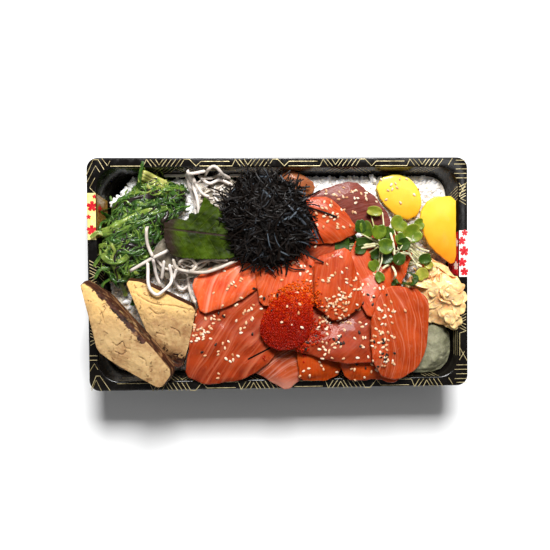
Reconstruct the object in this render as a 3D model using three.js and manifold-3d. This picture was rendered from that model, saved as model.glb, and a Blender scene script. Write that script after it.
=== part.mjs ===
// A salmon rice bowl: raw fish, salads and pickles over rice in a rectangular takeaway tray.
// Lengths are in millimetres, +Z is up and the origin is the middle of the tray's flat base.

import * as THREE from 'three';
import { mergeVertices } from 'three/addons/utils/BufferGeometryUtils.js';
import Module from 'manifold-3d';

const wasm = await Module();
wasm.setup();

// ---------------------------------------------------------------- driving dimensions

const TRAY = {
  length: 220,
  width: 134,
  height: 38,
  rim: 6,
  wall: 0.9,
  lipDrop: 5,
  lipFlare: 0.6,
  draft: Math.tan(THREE.MathUtils.degToRad(14)),
  rimCorner: 6.5,
  wallCorner: 12,
  floorFillet: 1.4,
  cornerSteps: 4,
};

const GAP = 0.4;
const CELL = 0.5;
const WELD = 1e-3;

const RICE = {
  edge: 26.5,
  crown: 4,
  leftDrop: 5,
  wallGap: 0.6,
  cornerCut: 138,
  step: 17,
  grain: [6, 2.7, 2.5],
};
const SLICE = { thickness: 4.6, edge: 3.2, bevel: 0.9, corner: 2.2, step: 12, wobble: 0.7, stiffness: 2 };
const LARGE_SLICE = 900;
const OMELETTE = {
  thickness: 8.4,
  edge: 7.2,
  bevel: 0.7,
  power: 8,
  corner: 2,
  step: 18,
  wobble: 0.8,
  stiffness: 30,
  rings: [0.55],
};
const TAKUAN = {
  thickness: 4.2,
  edge: 3.4,
  bevel: 0.5,
  power: 6,
  corner: 3,
  step: 12,
  stiffness: 8,
  rings: [0.5],
};
const SESAME = { size: [3, 1.8, 1.1], sunk: 0.28, clear: 2.6, apart: 3.4 };
const NORI_SHRED = { width: 1.4, thickness: 0.7, count: 14 };
const NORI_MOUND = { middle: [-7, 31], spread: [21, 22] };
// The turn from each shred to the next that spreads them evenly round the mound.
const GOLDEN_TURN = Math.PI * (3 - Math.sqrt(5));
const DAIKON_STRAND = { radius: 1.1, sides: 4 };
const SPROUT = { leaf: [7, 5.6], leafThickness: 0.7, stemRadius: 0.55 };

// ---------------------------------------------------------------- random numbers and noise

// A small seeded generator, so that every run makes the same meal.
function seededRandom(seed) {
  let state = seed >>> 0;
  return () => {
    state = (state + 0x6d2b79f5) >>> 0;
    let value = Math.imul(state ^ (state >>> 15), 1 | state);
    value = (value + Math.imul(value ^ (value >>> 7), 61 | value)) ^ value;
    return ((value ^ (value >>> 14)) >>> 0) / 4294967296;
  };
}

// Smooth bumps of about one unit, with the given wavelength, from three crossed waves.
function bumps(seed, wavelength) {
  const random = seededRandom(seed);
  const waves = [];
  for (let i = 0; i < 3; i += 1) {
    const angle = (i / 3) * Math.PI + random() * 0.8;
    const pitch = ((2 * Math.PI) / wavelength) * (0.8 + 0.5 * random());
    waves.push([Math.cos(angle) * pitch, Math.sin(angle) * pitch, random() * 2 * Math.PI]);
  }
  const wave = (x, y) => ([kx, ky, phase]) => Math.sin(kx * x + ky * y + phase);
  return (x, y) => waves.map(wave(x, y)).reduce((sum, height) => sum + height) / waves.length;
}

// ---------------------------------------------------------------- closed meshes

// Collects corners and triangles of one closed body.
class Shell {
  constructor() {
    this.corners = [];
    this.faces = [];
  }

  ring(points) {
    const start = this.corners.length;
    this.corners.push(...points);
    return points.map((_, i) => start + i);
  }

  face(a, b, c) {
    this.faces.push([a, b, c]);
  }

  // Joins two rings of the same length; the second lies outside or above the first.
  band(lower, upper) {
    const count = lower.length;
    for (let i = 0; i < count; i += 1) {
      const next = (i + 1) % count;
      this.face(lower[i], lower[next], upper[next]);
      this.face(lower[i], upper[next], upper[i]);
    }
  }

  fan(ring, tip) {
    const count = ring.length;
    for (let i = 0; i < count; i += 1) {
      this.face(ring[i], ring[(i + 1) % count], tip);
    }
  }

  geometry() {
    const geometry = new THREE.BufferGeometry();
    const flat = this.corners.flatMap((corner) => [corner.x, corner.y, corner.z]);
    geometry.setAttribute('position', new THREE.Float32BufferAttribute(flat, 3));
    geometry.setIndex(this.faces.flat());
    return geometry;
  }
}

function welded(geometry) {
  const bare = geometry.clone();
  bare.deleteAttribute('normal');
  bare.deleteAttribute('uv');
  return mergeVertices(bare, WELD);
}

function toManifold(geometry) {
  const merged = welded(geometry);
  return new wasm.Manifold(new wasm.Mesh({
    numProp: 3,
    vertProperties: new Float32Array(merged.attributes.position.array),
    triVerts: new Uint32Array(merged.index.array),
  }));
}

// Fuses small pieces onto a body and drops any scrap that doesn't touch it.
function fuse(body, pieces) {
  let whole = toManifold(body);
  for (const piece of pieces) {
    whole = whole.add(toManifold(piece));
  }
  const bodies = whole.decompose();
  bodies.sort((a, b) => b.volume() - a.volume());
  const mesh = bodies[0].getMesh();
  const geometry = new THREE.BufferGeometry();
  geometry.setAttribute('position', new THREE.Float32BufferAttribute(mesh.vertProperties, 3));
  geometry.setIndex(Array.from(mesh.triVerts));
  return welded(geometry);
}

// ---------------------------------------------------------------- the pile

// Calls visit(cell, wa, wb, wc) for each cell centre under a triangle, with its three weights.
function eachCell(grid, a, b, c, visit) {
  const area = (b.x - a.x) * (c.y - a.y) - (c.x - a.x) * (b.y - a.y);
  if (Math.abs(area) < 1e-9) {
    return;
  }
  const first = grid.column(Math.min(a.x, b.x, c.x));
  const last = grid.column(Math.max(a.x, b.x, c.x));
  const bottom = grid.row(Math.min(a.y, b.y, c.y));
  const top = grid.row(Math.max(a.y, b.y, c.y));
  for (let j = bottom; j <= top; j += 1) {
    const y = grid.y(j);
    for (let i = first; i <= last; i += 1) {
      const x = grid.x(i);
      const wb = ((x - a.x) * (c.y - a.y) - (c.x - a.x) * (y - a.y)) / area;
      const wc = ((b.x - a.x) * (y - a.y) - (x - a.x) * (b.y - a.y)) / area;
      const wa = 1 - wb - wc;
      if (wa >= -1e-6 && wb >= -1e-6 && wc >= -1e-6) {
        visit(j * grid.columns + i, wa, wb, wc);
      }
    }
  }
}

// A map of how high the tray and the food in it reach, and of what lies on top.
class Pile {
  constructor() {
    this.halfX = TRAY.length / 2 + 4;
    this.halfY = TRAY.width / 2 + 4;
    this.columns = Math.round((2 * this.halfX) / CELL) + 1;
    this.rows = Math.round((2 * this.halfY) / CELL) + 1;
    this.height = new Float32Array(this.columns * this.rows).fill(-1);
    this.owner = new Array(this.columns * this.rows).fill('');
    this.reach = this.height.slice();
  }

  x(column) {
    return column * CELL - this.halfX;
  }

  y(row) {
    return row * CELL - this.halfY;
  }

  column(x) {
    return THREE.MathUtils.clamp(Math.round((x + this.halfX) / CELL), 0, this.columns - 1);
  }

  row(y) {
    return THREE.MathUtils.clamp(Math.round((y + this.halfY) / CELL), 0, this.rows - 1);
  }

  cell(x, y) {
    return this.row(y) * this.columns + this.column(x);
  }

  mark(cell, z, owner) {
    if (z > this.height[cell]) {
      this.height[cell] = z;
      this.owner[cell] = owner;
    }
  }

  // Lays a body on the map, edges included.
  add(geometry, owner) {
    const position = geometry.attributes.position;
    const index = geometry.index;
    for (let i = 0; i < index.count; i += 3) {
      const corners = [0, 1, 2].map((k) => {
        return new THREE.Vector3().fromBufferAttribute(position, index.getX(i + k));
      });
      eachCell(this, ...corners, (cell, wa, wb, wc) => {
        this.mark(cell, wa * corners[0].z + wb * corners[1].z + wc * corners[2].z, owner);
      });
      for (let k = 0; k < 3; k += 1) {
        const from = corners[k];
        const to = corners[(k + 1) % 3];
        const steps = Math.ceil(from.distanceTo(to) / (CELL / 2));
        for (let s = 0; s <= steps; s += 1) {
          const point = from.clone().lerp(to, s / Math.max(steps, 1));
          this.mark(this.cell(point.x, point.y), point.z, owner);
        }
      }
    }
    this.spread();
  }

  // The reach is the height widened by one cell all round.
  spread() {
    for (let j = 0; j < this.rows; j += 1) {
      for (let i = 0; i < this.columns; i += 1) {
        let highest = -1;
        for (let dj = -1; dj <= 1; dj += 1) {
          for (let di = -1; di <= 1; di += 1) {
            const row = THREE.MathUtils.clamp(j + dj, 0, this.rows - 1);
            const column = THREE.MathUtils.clamp(i + di, 0, this.columns - 1);
            highest = Math.max(highest, this.height[row * this.columns + column]);
          }
        }
        this.reach[j * this.columns + i] = highest;
      }
    }
  }

  highest(x, y, radius) {
    let top = -1;
    for (let dy = -radius; dy <= radius; dy += CELL) {
      for (let dx = -radius; dx <= radius; dx += CELL) {
        top = Math.max(top, this.reach[this.cell(x + dx, y + dy)]);
      }
    }
    return top;
  }

  // The owner of a spot, or nothing if another piece shows within the radius.
  soleOwner(x, y, radius) {
    const owner = this.owner[this.cell(x, y)];
    for (let dy = -radius; dy <= radius; dy += CELL) {
      for (let dx = -radius; dx <= radius; dx += CELL) {
        if (this.owner[this.cell(x + dx, y + dy)] !== owner) {
          return '';
        }
      }
    }
    return owner;
  }
}

const pile = new Pile();

// Lets a sheet of flat points sink onto the pile without cutting into it.
function drape(points, faces, { stiffness = 6, rounds = 30, gap = GAP } = {}) {
  const heights = points.map((p) => pile.reach[pile.cell(p.x, p.y)] + gap);
  const links = points.map(() => new Set());
  for (const [a, b, c] of faces) {
    links[a].add(b).add(c);
    links[b].add(a).add(c);
    links[c].add(a).add(b);
  }
  const covered = faces.map(([a, b, c]) => {
    const cells = [];
    eachCell(pile, points[a], points[b], points[c], (cell, wa, wb, wc) => cells.push([cell, wa, wb, wc]));
    return cells;
  });
  const lift = () => {
    faces.forEach(([a, b, c], i) => {
      for (const [cell, wa, wb, wc] of covered[i]) {
        const short = pile.reach[cell] + gap - (wa * heights[a] + wb * heights[b] + wc * heights[c]);
        if (short > 0) {
          const share = short / (wa * wa + wb * wb + wc * wc);
          heights[a] += share * wa;
          heights[b] += share * wb;
          heights[c] += share * wc;
        }
      }
    });
  };
  for (let round = 0; round < rounds; round += 1) {
    for (let pass = 0; pass < stiffness; pass += 1) {
      const before = heights.slice();
      links.forEach((near, i) => {
        const mean = [...near].reduce((sum, k) => sum + before[k], 0) / near.size;
        heights[i] = THREE.MathUtils.lerp(before[i], mean, 0.5);
      });
    }
    lift();
  }
  for (let round = 0; round < 12; round += 1) {
    lift();
  }
  return heights;
}

// ---------------------------------------------------------------- outlines

// An outline with small round corners and edges that stray a little from straight.
function outline(corners, { corner = 2, step = 12, wobble = 0.5, seed = 1 } = {}) {
  const random = seededRandom(seed);
  const places = corners.map(([x, y]) => new THREE.Vector2(x, y));
  const count = places.length;
  const points = [];
  for (let i = 0; i < count; i += 1) {
    const here = places[i];
    const before = places[(i + count - 1) % count];
    const after = places[(i + 1) % count];
    const cut = Math.min(corner, 0.4 * here.distanceTo(before), 0.4 * here.distanceTo(after));
    const leave = here.clone().lerp(after, cut / here.distanceTo(after));
    points.push(here.clone().lerp(before, cut / here.distanceTo(before)), leave);
    const arrive = after.clone().lerp(here, cut / here.distanceTo(after));
    const pieces = Math.max(1, Math.round(leave.distanceTo(arrive) / step));
    const side = new THREE.Vector2(after.y - here.y, here.x - after.x).normalize();
    for (let k = 1; k < pieces; k += 1) {
      const stray = (random() * 2 - 1) * wobble;
      points.push(leave.clone().lerp(arrive, k / pieces).addScaledVector(side, stray));
    }
  }
  return THREE.ShapeUtils.isClockWise(points) ? points.reverse() : points;
}

function smoothOutline(corners, count) {
  const curve = new THREE.CatmullRomCurve3(corners.map(([x, y]) => new THREE.Vector3(x, y, 0)), true);
  const points = curve.getSpacedPoints(count).slice(0, count).map((p) => new THREE.Vector2(p.x, p.y));
  return THREE.ShapeUtils.isClockWise(points) ? points.reverse() : points;
}

function middle(points) {
  const sum = points.reduce((total, p) => total.add(p), new THREE.Vector2());
  return sum.divideScalar(points.length);
}

// ---------------------------------------------------------------- pieces that lie on the pile

// A body with one outline: its underside lies on the pile, and its top is a cushion over it.
function laid(border, {
  rings = [0.66, 0.3],
  thickness,
  edge = thickness * 0.6,
  bevel = 0.6,
  power = 3,
  relief = () => 0,
  lift = () => 0,
  lean = [0, 0],
  stiffness = 6,
  belly = true,
  gap = GAP,
}) {
  const centre = middle(border);
  const fractions = [1, ...rings];
  const count = border.length;
  const flat = [];
  for (const fraction of fractions) {
    flat.push(...border.map((p) => centre.clone().lerp(p, fraction)));
  }
  flat.push(centre);
  const tip = flat.length - 1;
  const faces = [];
  fractions.forEach((_, level) => {
    for (let i = 0; i < count; i += 1) {
      const a = level * count + i;
      const b = level * count + ((i + 1) % count);
      if (level < rings.length) {
        faces.push([a, b, b + count], [a, b + count, a + count]);
      } else {
        faces.push([a, b, tip]);
      }
    }
  });
  const under = drape(flat, faces, { stiffness, gap });
  const share = (i) => (i === tip ? 0 : fractions[Math.floor(i / count)]);
  const inward = (p) => p.clone().lerp(centre, bevel / Math.max(p.distanceTo(centre), bevel));
  const spot = (p, z, leaning) => new THREE.Vector3(p.x + leaning * lean[0], p.y + leaning * lean[1], z);
  const shell = new Shell();
  const bottom = flat.map((p, i) => {
    const place = belly && i < count ? inward(p) : p;
    return spot(place, under[i] + lift(p.x, p.y), 0);
  });
  const top = flat.map((p, i) => {
    const full = edge + (thickness - edge) * (1 - share(i) ** power);
    const place = i < count ? inward(p) : p;
    return spot(place, under[i] + lift(p.x, p.y) + full + (i < count ? 0 : relief(p.x, p.y)), 1);
  });
  const low = shell.ring(bottom);
  const high = shell.ring(top);
  for (const [a, b, c] of faces) {
    shell.face(high[a], high[b], high[c]);
    shell.face(low[a], low[c], low[b]);
  }
  const lowEdge = low.slice(0, count);
  const highEdge = high.slice(0, count);
  if (belly) {
    const side = border.map((p, i) => spot(p, (bottom[i].z + top[i].z) / 2, 0.5));
    const sideRing = shell.ring(side);
    shell.band(lowEdge, sideRing);
    shell.band(sideRing, highEdge);
  } else {
    shell.band(lowEdge, highEdge);
  }
  return shell.geometry();
}

// A grain or seed lying at a place, turned and tipped.
function grain([length, width, height], place, turn, tip) {
  const geometry = new THREE.IcosahedronGeometry(0.5, 0);
  geometry.scale(length, width, height);
  geometry.rotateX(tip * 0.6);
  geometry.rotateY(tip);
  geometry.rotateZ(turn);
  geometry.translate(place.x, place.y, place.z);
  return geometry;
}

// A strand along a route of flat points, with its section upright. It clears what it crosses,
// and its ends sink into its own heap, with the rest arched over that. Its end can be held up.
function strand(route, { half, sides = 4, steps = 4, own, sink = 0.5, arch = 0.8, endHeight = 0 }) {
  const [halfWidth, halfHeight] = half;
  const plan = new THREE.CatmullRomCurve3(route.map(([x, y]) => new THREE.Vector3(x, y, 0)));
  const parts = Math.ceil(plan.getLength() / steps / CELL);
  const floors = plan.getSpacedPoints(steps * parts).map((p) => pile.highest(p.x, p.y, halfWidth));
  const tallest = Math.sin(((Math.floor(sides / 4) + 0.5) / sides) * 2 * Math.PI);
  const shell = new Shell();
  const rings = [];
  for (let i = 0; i <= steps; i += 1) {
    const along = i / steps;
    const p = plan.getPointAt(along);
    const tangent = plan.getTangentAt(along);
    const floor = Math.max(...floors.slice(Math.max(0, (i - 1) * parts), (i + 1) * parts + 1));
    const heap = own.height[own.cell(p.x, p.y)] - sink + arch * Math.sin(Math.PI * along);
    const held = i === steps ? endHeight : 0;
    const z = Math.max(floor + GAP, heap, held) + halfHeight;
    const ring = [];
    for (let k = 0; k < sides; k += 1) {
      const angle = ((k + 0.5) / sides) * 2 * Math.PI;
      const across = (Math.cos(angle) / Math.cos(Math.PI / sides)) * halfWidth;
      const up = (Math.sin(angle) / tallest) * halfHeight;
      ring.push(new THREE.Vector3(p.x - tangent.y * across, p.y + tangent.x * across, z + up));
    }
    rings.push(shell.ring(ring));
  }
  for (let i = 0; i < steps; i += 1) {
    shell.band(rings[i], rings[i + 1]);
  }
  capped(shell, rings[0], true);
  capped(shell, rings[steps], false);
  return shell.geometry();
}

// Closes a ring with a flat fan from its first corner.
function capped(shell, ring, reversed) {
  for (let i = 1; i + 1 < ring.length; i += 1) {
    if (reversed) {
      shell.face(ring[0], ring[i + 1], ring[i]);
    } else {
      shell.face(ring[0], ring[i], ring[i + 1]);
    }
  }
}

// ---------------------------------------------------------------- the meal's nodes

const group = new THREE.Group();
const bodies = new Map();

function finish(color, roughness, metalness = 0) {
  return new THREE.MeshStandardMaterial({ color, roughness, metalness });
}

// Puts a finished body on the pile under its name.
function place(name, geometry, material) {
  const merged = welded(geometry);
  pile.add(merged, name);
  bodies.set(name, { geometry: merged, material });
}

// A heap is a core with the pieces that show fused onto it.
function heap(name, core, material, addPieces) {
  const own = new Pile();
  own.add(welded(core), name);
  const pieces = [];
  addPieces((piece) => {
    pieces.push(piece);
    own.add(welded(piece), name);
  }, own);
  place(name, fuse(core, pieces), material);
}

// ---- tray

function roundedRing(halfX, halfY, radius, z) {
  const points = [];
  for (let corner = 0; corner < 4; corner += 1) {
    const signX = corner === 0 || corner === 3 ? 1 : -1;
    const signY = corner < 2 ? 1 : -1;
    for (let i = 0; i <= TRAY.cornerSteps; i += 1) {
      const angle = (corner + i / TRAY.cornerSteps) * (Math.PI / 2);
      const x = signX * (halfX - radius) + radius * Math.cos(angle);
      const y = signY * (halfY - radius) + radius * Math.sin(angle);
      points.push(new THREE.Vector3(x, y, z));
    }
  }
  return points;
}

function wallInset(z) {
  return TRAY.rim + (TRAY.height - z) * TRAY.draft;
}

// The cavity's outline at a height, drawn in by a margin.
function cavityRing(z, margin = 0) {
  const inset = wallInset(z) + margin;
  const radius = TRAY.wallCorner - margin;
  return roundedRing(TRAY.length / 2 - inset, TRAY.width / 2 - inset, radius, z);
}

function trayGeometry() {
  const { length, width, height, wall, lipDrop, lipFlare, rimCorner, floorFillet } = TRAY;
  const rimRing = (inset, z) => {
    return roundedRing(length / 2 - inset, width / 2 - inset, rimCorner - inset * 0.5, z);
  };
  const floor = wall;
  const profile = [
    cavityRing(0, floorFillet - wall),
    cavityRing(floorFillet, -wall),
    cavityRing(height - wall, -wall),
    rimRing(lipFlare + wall, height - wall),
    rimRing(wall, height - lipDrop),
    rimRing(0, height - lipDrop),
    rimRing(lipFlare, height - 0.5),
    rimRing(lipFlare + 0.5, height),
    cavityRing(height, -0.3),
    cavityRing(height - 0.4, 0),
    cavityRing(floor + floorFillet, 0),
    cavityRing(floor, floorFillet),
  ];
  const shell = new Shell();
  const rings = profile.map((points) => shell.ring(points));
  const underside = shell.ring([new THREE.Vector3(0, 0, 0)])[0];
  const inside = shell.ring([new THREE.Vector3(0, 0, floor)])[0];
  for (let i = 0; i + 1 < rings.length; i += 1) {
    shell.band(rings[i], rings[i + 1]);
  }
  shell.fan(rings[rings.length - 1], inside);
  shell.fan([...rings[0]].reverse(), underside);
  return shell.geometry();
}

place('tray', trayGeometry(), finish(0x131211, 0.25));

// ---- rice

// How high the rice comes: highest in the middle and lower under the seaweed at the left.
const riceBumps = bumps(11, 17);

function riceHeight(x, y) {
  const away = Math.hypot(x / 100, y / 58);
  const crown = RICE.crown * Math.max(0, 1 - away * away);
  const left = RICE.leftDrop * THREE.MathUtils.smoothstep(-x, 50, 75);
  return RICE.edge + crown - left + 0.7 * riceBumps(x, y);
}

// The rice stops short of the tray's back left corner, which shows empty.
function riceRing(z, margin) {
  return cavityRing(z, margin).map((p) => {
    const over = Math.max(0, p.y - p.x - RICE.cornerCut);
    return new THREE.Vector3(p.x + over / 2, p.y - over / 2, z);
  });
}

function riceCore() {
  const floor = TRAY.wall + GAP;
  const edgeHeight = RICE.edge - 1.5;
  const outer = riceRing(edgeHeight, RICE.wallGap);
  const splits = outer.map((p, i) => {
    const next = outer[(i + 1) % outer.length];
    return Math.max(1, Math.round(p.distanceTo(next) / RICE.step));
  });
  const dense = (points) => points.flatMap((p, i) => {
    const next = points[(i + 1) % points.length];
    return Array.from({ length: splits[i] }, (_, k) => p.clone().lerp(next, k / splits[i]));
  });
  const border = dense(outer);
  const foot = dense(riceRing(floor, RICE.wallGap + TRAY.floorFillet));
  const shell = new Shell();
  const low = shell.ring(foot);
  const rim = shell.ring(border);
  const base = shell.ring([new THREE.Vector3(0, 0, floor)])[0];
  const crown = shell.ring([new THREE.Vector3(0, 0, riceHeight(0, 0))])[0];
  shell.fan([...low].reverse(), base);
  shell.band(low, rim);
  let last = rim;
  for (const level of [0.94, 0.84, 0.62, 0.32]) {
    const ring = border.map((p) => {
      const x = p.x * level;
      const y = p.y * level;
      return new THREE.Vector3(x, y, riceHeight(x, y));
    });
    const inner = shell.ring(ring);
    shell.band(last, inner);
    last = inner;
  }
  shell.fan(last, crown);
  return shell.geometry();
}

// Where bare rice shows: middle, half size and number of grains of each patch.
const RICE_PATCHES = [
  [[-84, 49], [6, 5], 4],
  [[-57, 55], [14, 2.5], 5],
  [[25, 53], [9, 4], 6],
  [[48, 54], [9, 3.5], 5],
  [[90, 52], [8, 4.5], 9],
  [[-90, -54], [5, 3], 3],
];

heap('rice_bed', riceCore(), finish(0xefe6dc, 0.6), (add) => {
  const random = seededRandom(21);
  for (const [[midX, midY], [halfX, halfY], count] of RICE_PATCHES) {
    for (let i = 0; i < count; i += 1) {
      const x = midX + (random() * 2 - 1) * halfX;
      const y = midY + (random() * 2 - 1) * halfY;
      const z = riceHeight(x, y) + 0.5 + random() * 0.6;
      const turn = random() * Math.PI;
      const tip = (random() - 0.5) * 0.7;
      if (pile.highest(x, y, RICE.grain[0] / 2) < z - RICE.grain[2]) {
        add(grain(RICE.grain, new THREE.Vector3(x, y, z), turn, tip));
      }
    }
  }
});

// ---- pickles at the right

place('takuan_1', laid(outline([
  [57, 53], [64, 57.5], [74, 57.4], [81, 51.8], [84.5, 44.2], [84, 36.5], [80, 30.5], [72.5, 30.5],
  [64, 36.5], [57.5, 45.5],
], { ...TAKUAN, seed: 31 }), TAKUAN), finish(0xf6c417, 0.35));

place('takuan_2', laid(outline([
  [87.6, 43.8], [102.8, 44.4], [103, 22], [102.8, 7], [101, 3.4], [96.4, 6.9], [88.7, 12.8],
  [84.6, 18.7], [80.5, 32.8],
], { ...TAKUAN, seed: 32 }), TAKUAN), finish(0xf4b81c, 0.35));

const wasabiLumps = bumps(41, 13);
place('wasabi', laid(smoothOutline([
  [82, -36], [88, -31], [94, -30.5], [99.5, -33.6], [101, -43], [100, -51], [95.5, -57], [87, -59],
  [75, -58], [72, -48],
], 16), {
  thickness: 9,
  edge: 3,
  power: 2.2,
  bevel: 1.4,
  stiffness: 2,
  relief: (x, y) => 0.9 * wasabiLumps(x, y),
}), finish(0xa7b48a, 0.75));

const gingerFolds = bumps(42, 9);
heap('pickled_ginger', laid(smoothOutline([
  [73, -8], [82, 1], [90, 6.5], [97, 5], [102, -4], [104.5, -16], [102, -31], [94, -31], [86, -28],
  [78, -22],
], 20), {
  rings: [0.7, 0.38],
  thickness: 8,
  edge: 2.6,
  power: 2,
  bevel: 1.2,
  stiffness: 1,
  relief: (x, y) => 1.3 * gingerFolds(x, y),
}), finish(0xf0c795, 0.45), (add, own) => {
  const folds = [
    [[82, -4], [90, 2], [99, 1]],
    [[101, -3], [104.5, -11], [105.5, -20]],
    [[84, -12], [92, -9], [100, -12]],
    [[92, -27], [98, -25], [103, -28]],
  ];
  for (const route of folds) {
    add(strand(route, { half: [1.9, 1], steps: 3, own, sink: 0.8, arch: 1.4 }));
  }
});

// ---- seaweed salad at the left

const seaweedLumps = bumps(51, 12);
const SEAWEED_RIBBONS = [
  [[-96, 40], [-88, 42], [-80, 41]],
  [[-82, 55], [-74, 50], [-66, 44]],
  [[-70, 55], [-63, 50], [-57, 43]],
  [[-104, 24], [-93, 26], [-82, 33]],
  [[-99, 20], [-86, 27], [-70, 36]],
  [[-79, 40], [-70, 39], [-60, 42]],
  [[-103, 14], [-96, 8], [-87, 10]],
  [[-98, 6], [-90, 3], [-83, -3]],
  [[-95, -2], [-92, -8], [-88, -13]],
  [[-90, 14], [-83, 11], [-78, 13]],
  [[-96, 32], [-93, 24], [-95, 15]],
  [[-80, 49], [-79, 57], [-76, 65]],
  [[-74, 46], [-66, 47], [-59, 50]],
  [[-103, 6], [-98, 0], [-97, -7]],
];

heap('seaweed_salad', laid(outline([
  [-96, 41], [-88, 45.5], [-80, 55], [-66, 56], [-53, 50], [-52, 35], [-63, 28],
  [-66, 19], [-69, 10], [-72, -2], [-84, -5], [-96, -9], [-101, 3], [-103, 12], [-101, 24], [-98, 32],
], { corner: 2, step: 16, wobble: 1, seed: 52 }), {
  rings: [0.62],
  thickness: 12,
  edge: 5,
  power: 2.5,
  bevel: 1.2,
  stiffness: 2,
  relief: (x, y) => 1.8 * seaweedLumps(x, y),
}), finish(0x47691f, 0.4), (add, own) => {
  for (const route of SEAWEED_RIBBONS) {
    add(strand(route, { half: [1.6, 0.8], steps: 3, own, sink: 0.8, arch: 1.8 }));
  }
});

// ---- omelette slices

function layOmelette(name, corners, seed, lean, color) {
  const border = outline(corners, { ...OMELETTE, seed });
  place(name, laid(border, { ...OMELETTE, lean }), finish(color, 0.6));
}

layOmelette('omelette_2', [
  [-87.5, -1], [-78, -2], [-65, -8.5], [-47, -17.5], [-51, -38], [-56, -53], [-70, -45], [-79, -24],
], 61, [-0.5, -1.5], 0xdcae6b);

layOmelette('omelette_1', [
  [-109.5, -1], [-105, -20], [-100.5, -40], [-90, -48], [-65, -62], [-58.5, -53], [-68, -40], [-95, -9.5],
], 62, [-2.2, -2], 0xd9a963);

// ---- fish: a slice is its outline and its own seed

const SALMON_SLICES = {
  salmon_01: [[-17, -55], [-2, -42], [13, -42], [13, -58], [3.5, -66.5], [-6.5, -60.5]],
  salmon_02: [[9, -38], [32, -39], [34, -57], [28, -60.5], [11, -60.5]],
  salmon_03: [
    [31, -43], [54, -43], [73, -54], [69, -60.8], [62.4, -63.8], [55.5, -60], [46.8, -61.5], [38, -60.8],
  ],
  salmon_04: [
    [-46, -18], [-50.5, -36], [-54, -57], [-43, -62.5], [-22, -59.5], [-6, -49], [1, -30], [-8, -7],
  ],
  salmon_05: [
    [-50, -4], [-37.9, 3.5], [-27.6, 8], [-19, 8.2], [-15, 3.3], [-13, -8], [-29, -17], [-44.5, -22],
  ],
  salmon_06: [[6, 16], [33, 22], [41, 10], [23, 2], [6, 6]],
  salmon_07: [[5, -18], [36, -16], [54, -16], [62, -30], [58, -50], [38, -50.5], [22, -47], [4, -42]],
  salmon_08: [[-14, 3.5], [-10, 11], [12, 11], [22, 3.5], [23, -17], [5, -20], [-11, -17]],
  salmon_09: [[40, 8], [46, 20], [64, 23], [74, 12], [71, -4], [62, -20], [50, -25], [42, -10]],
  salmon_10: [[20, 8], [38, 14], [43.5, -5], [46, -18], [31, -27], [20, -18]],
  salmon_11: [
    [56, -12], [61.7, -8.5], [77, -9.8], [83.7, -15.5], [85.3, -20.4], [83.8, -33], [83, -44.5],
    [77.5, -54.8], [66.7, -60.4], [58.6, -59.2], [52, -50], [51, -28],
  ],
  salmon_12: [[11, 38], [17, 43], [29, 43], [38, 34], [46, 24], [32, 18], [16, 18], [10, 27]],
};

const TUNA_SLICES = {
  tuna_1: [[0, 56], [7, 59.5], [21, 52], [18, 45], [2, 45]],
  tuna_2: [
    [17, 44], [30, 49.5], [43, 52.5], [48, 50], [49.5, 43], [62, 34.5], [64, 27], [46, 27], [30, 36],
  ],
};

function laySlices(slices, color, firstSeed, options = {}) {
  Object.entries(slices).forEach(([name, corners], i) => {
    const border = outline(corners, { ...SLICE, seed: firstSeed + i });
    const rings = Math.abs(THREE.ShapeUtils.area(border)) > LARGE_SLICE ? [0.66, 0.3] : [0.52];
    place(name, laid(border, { ...SLICE, rings, power: 4, ...options }), finish(color, 0.3));
  });
}

laySlices(TUNA_SLICES, 0x8d4238, 71, { thickness: 4.2, edge: 2.8 });
laySlices(SALMON_SLICES, 0xf0662f, 81);

// ---- daikon, leaf, nori, roe and sprouts

const daikonLumps = bumps(91, 8);
const DAIKON_STRANDS = [
  [[-87, 1], [-73, 9], [-57, 18]],
  [[-53, 61], [-50, 52], [-47, 43], [-46, 33]],
  [[-66, 24], [-69, 19], [-70, 13]],
  [[-75, 29], [-75, 18], [-72, 10]],
  [[-75, 7], [-74, -6], [-70, -11], [-66, -9], [-62, -4], [-63, 6]],
  [[-61, 9], [-58, 3], [-45, 1], [-36, 3], [-24, 8]],
  [[-58, 5], [-56, 8], [-51, 9], [-48, 5], [-50, 2]],
  [[-51, 4], [-42, 8], [-29, 8]],
  [[-59, 3], [-61, -4], [-57, -9], [-53, -7]],
  [[-53, -2], [-52, -10], [-48, -16]],
  [[-43, 57], [-37, 61], [-31, 55]],
  [[-29, 58], [-21, 57], [-13, 54]],
];

heap('daikon_strands', laid(outline([
  [-50, 56], [-18, 55], [-11, 42], [-14, 14], [-30, 11], [-42, 3], [-52, -3],
  [-70, -5], [-73, 5], [-62, 17], [-59, 27], [-49, 35], [-48, 46],
], { corner: 2, step: 18, wobble: 0.8, seed: 92 }), {
  rings: [0.6],
  thickness: 8,
  edge: 3.4,
  power: 3,
  bevel: 1,
  stiffness: 2,
  relief: (x, y) => 0.9 * daikonLumps(x, y),
}), finish(0xd3cbd0, 0.4), (add, own) => {
  const { radius, sides } = DAIKON_STRAND;
  for (const route of DAIKON_STRANDS) {
    const steps = Math.ceil(route.length * 1.4);
    add(strand(route, { half: [radius, radius], sides, steps, own, sink: 0.9, arch: 1.2 }));
  }
});

const leafWaves = bumps(95, 22);
place('shiso_leaf', laid(outline([
  [-66, 28.5], [-59.6, 31.4], [-53.4, 30.8], [-46.6, 34.8], [-42.4, 43], [-32, 35.5], [-20, 24],
  [-22, 12], [-29, 8.5], [-49, 8.5], [-61, 10.8], [-64.8, 19.6],
], { corner: 1.5, step: 11, wobble: 0.9, seed: 96 }), {
  rings: [0.55],
  thickness: 0.8,
  edge: 0.6,
  bevel: 0,
  belly: false,
  stiffness: 10,
  lift: (x, y) => 1 + leafWaves(x, y),
}), finish(0x2f5a14, 0.5));

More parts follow.
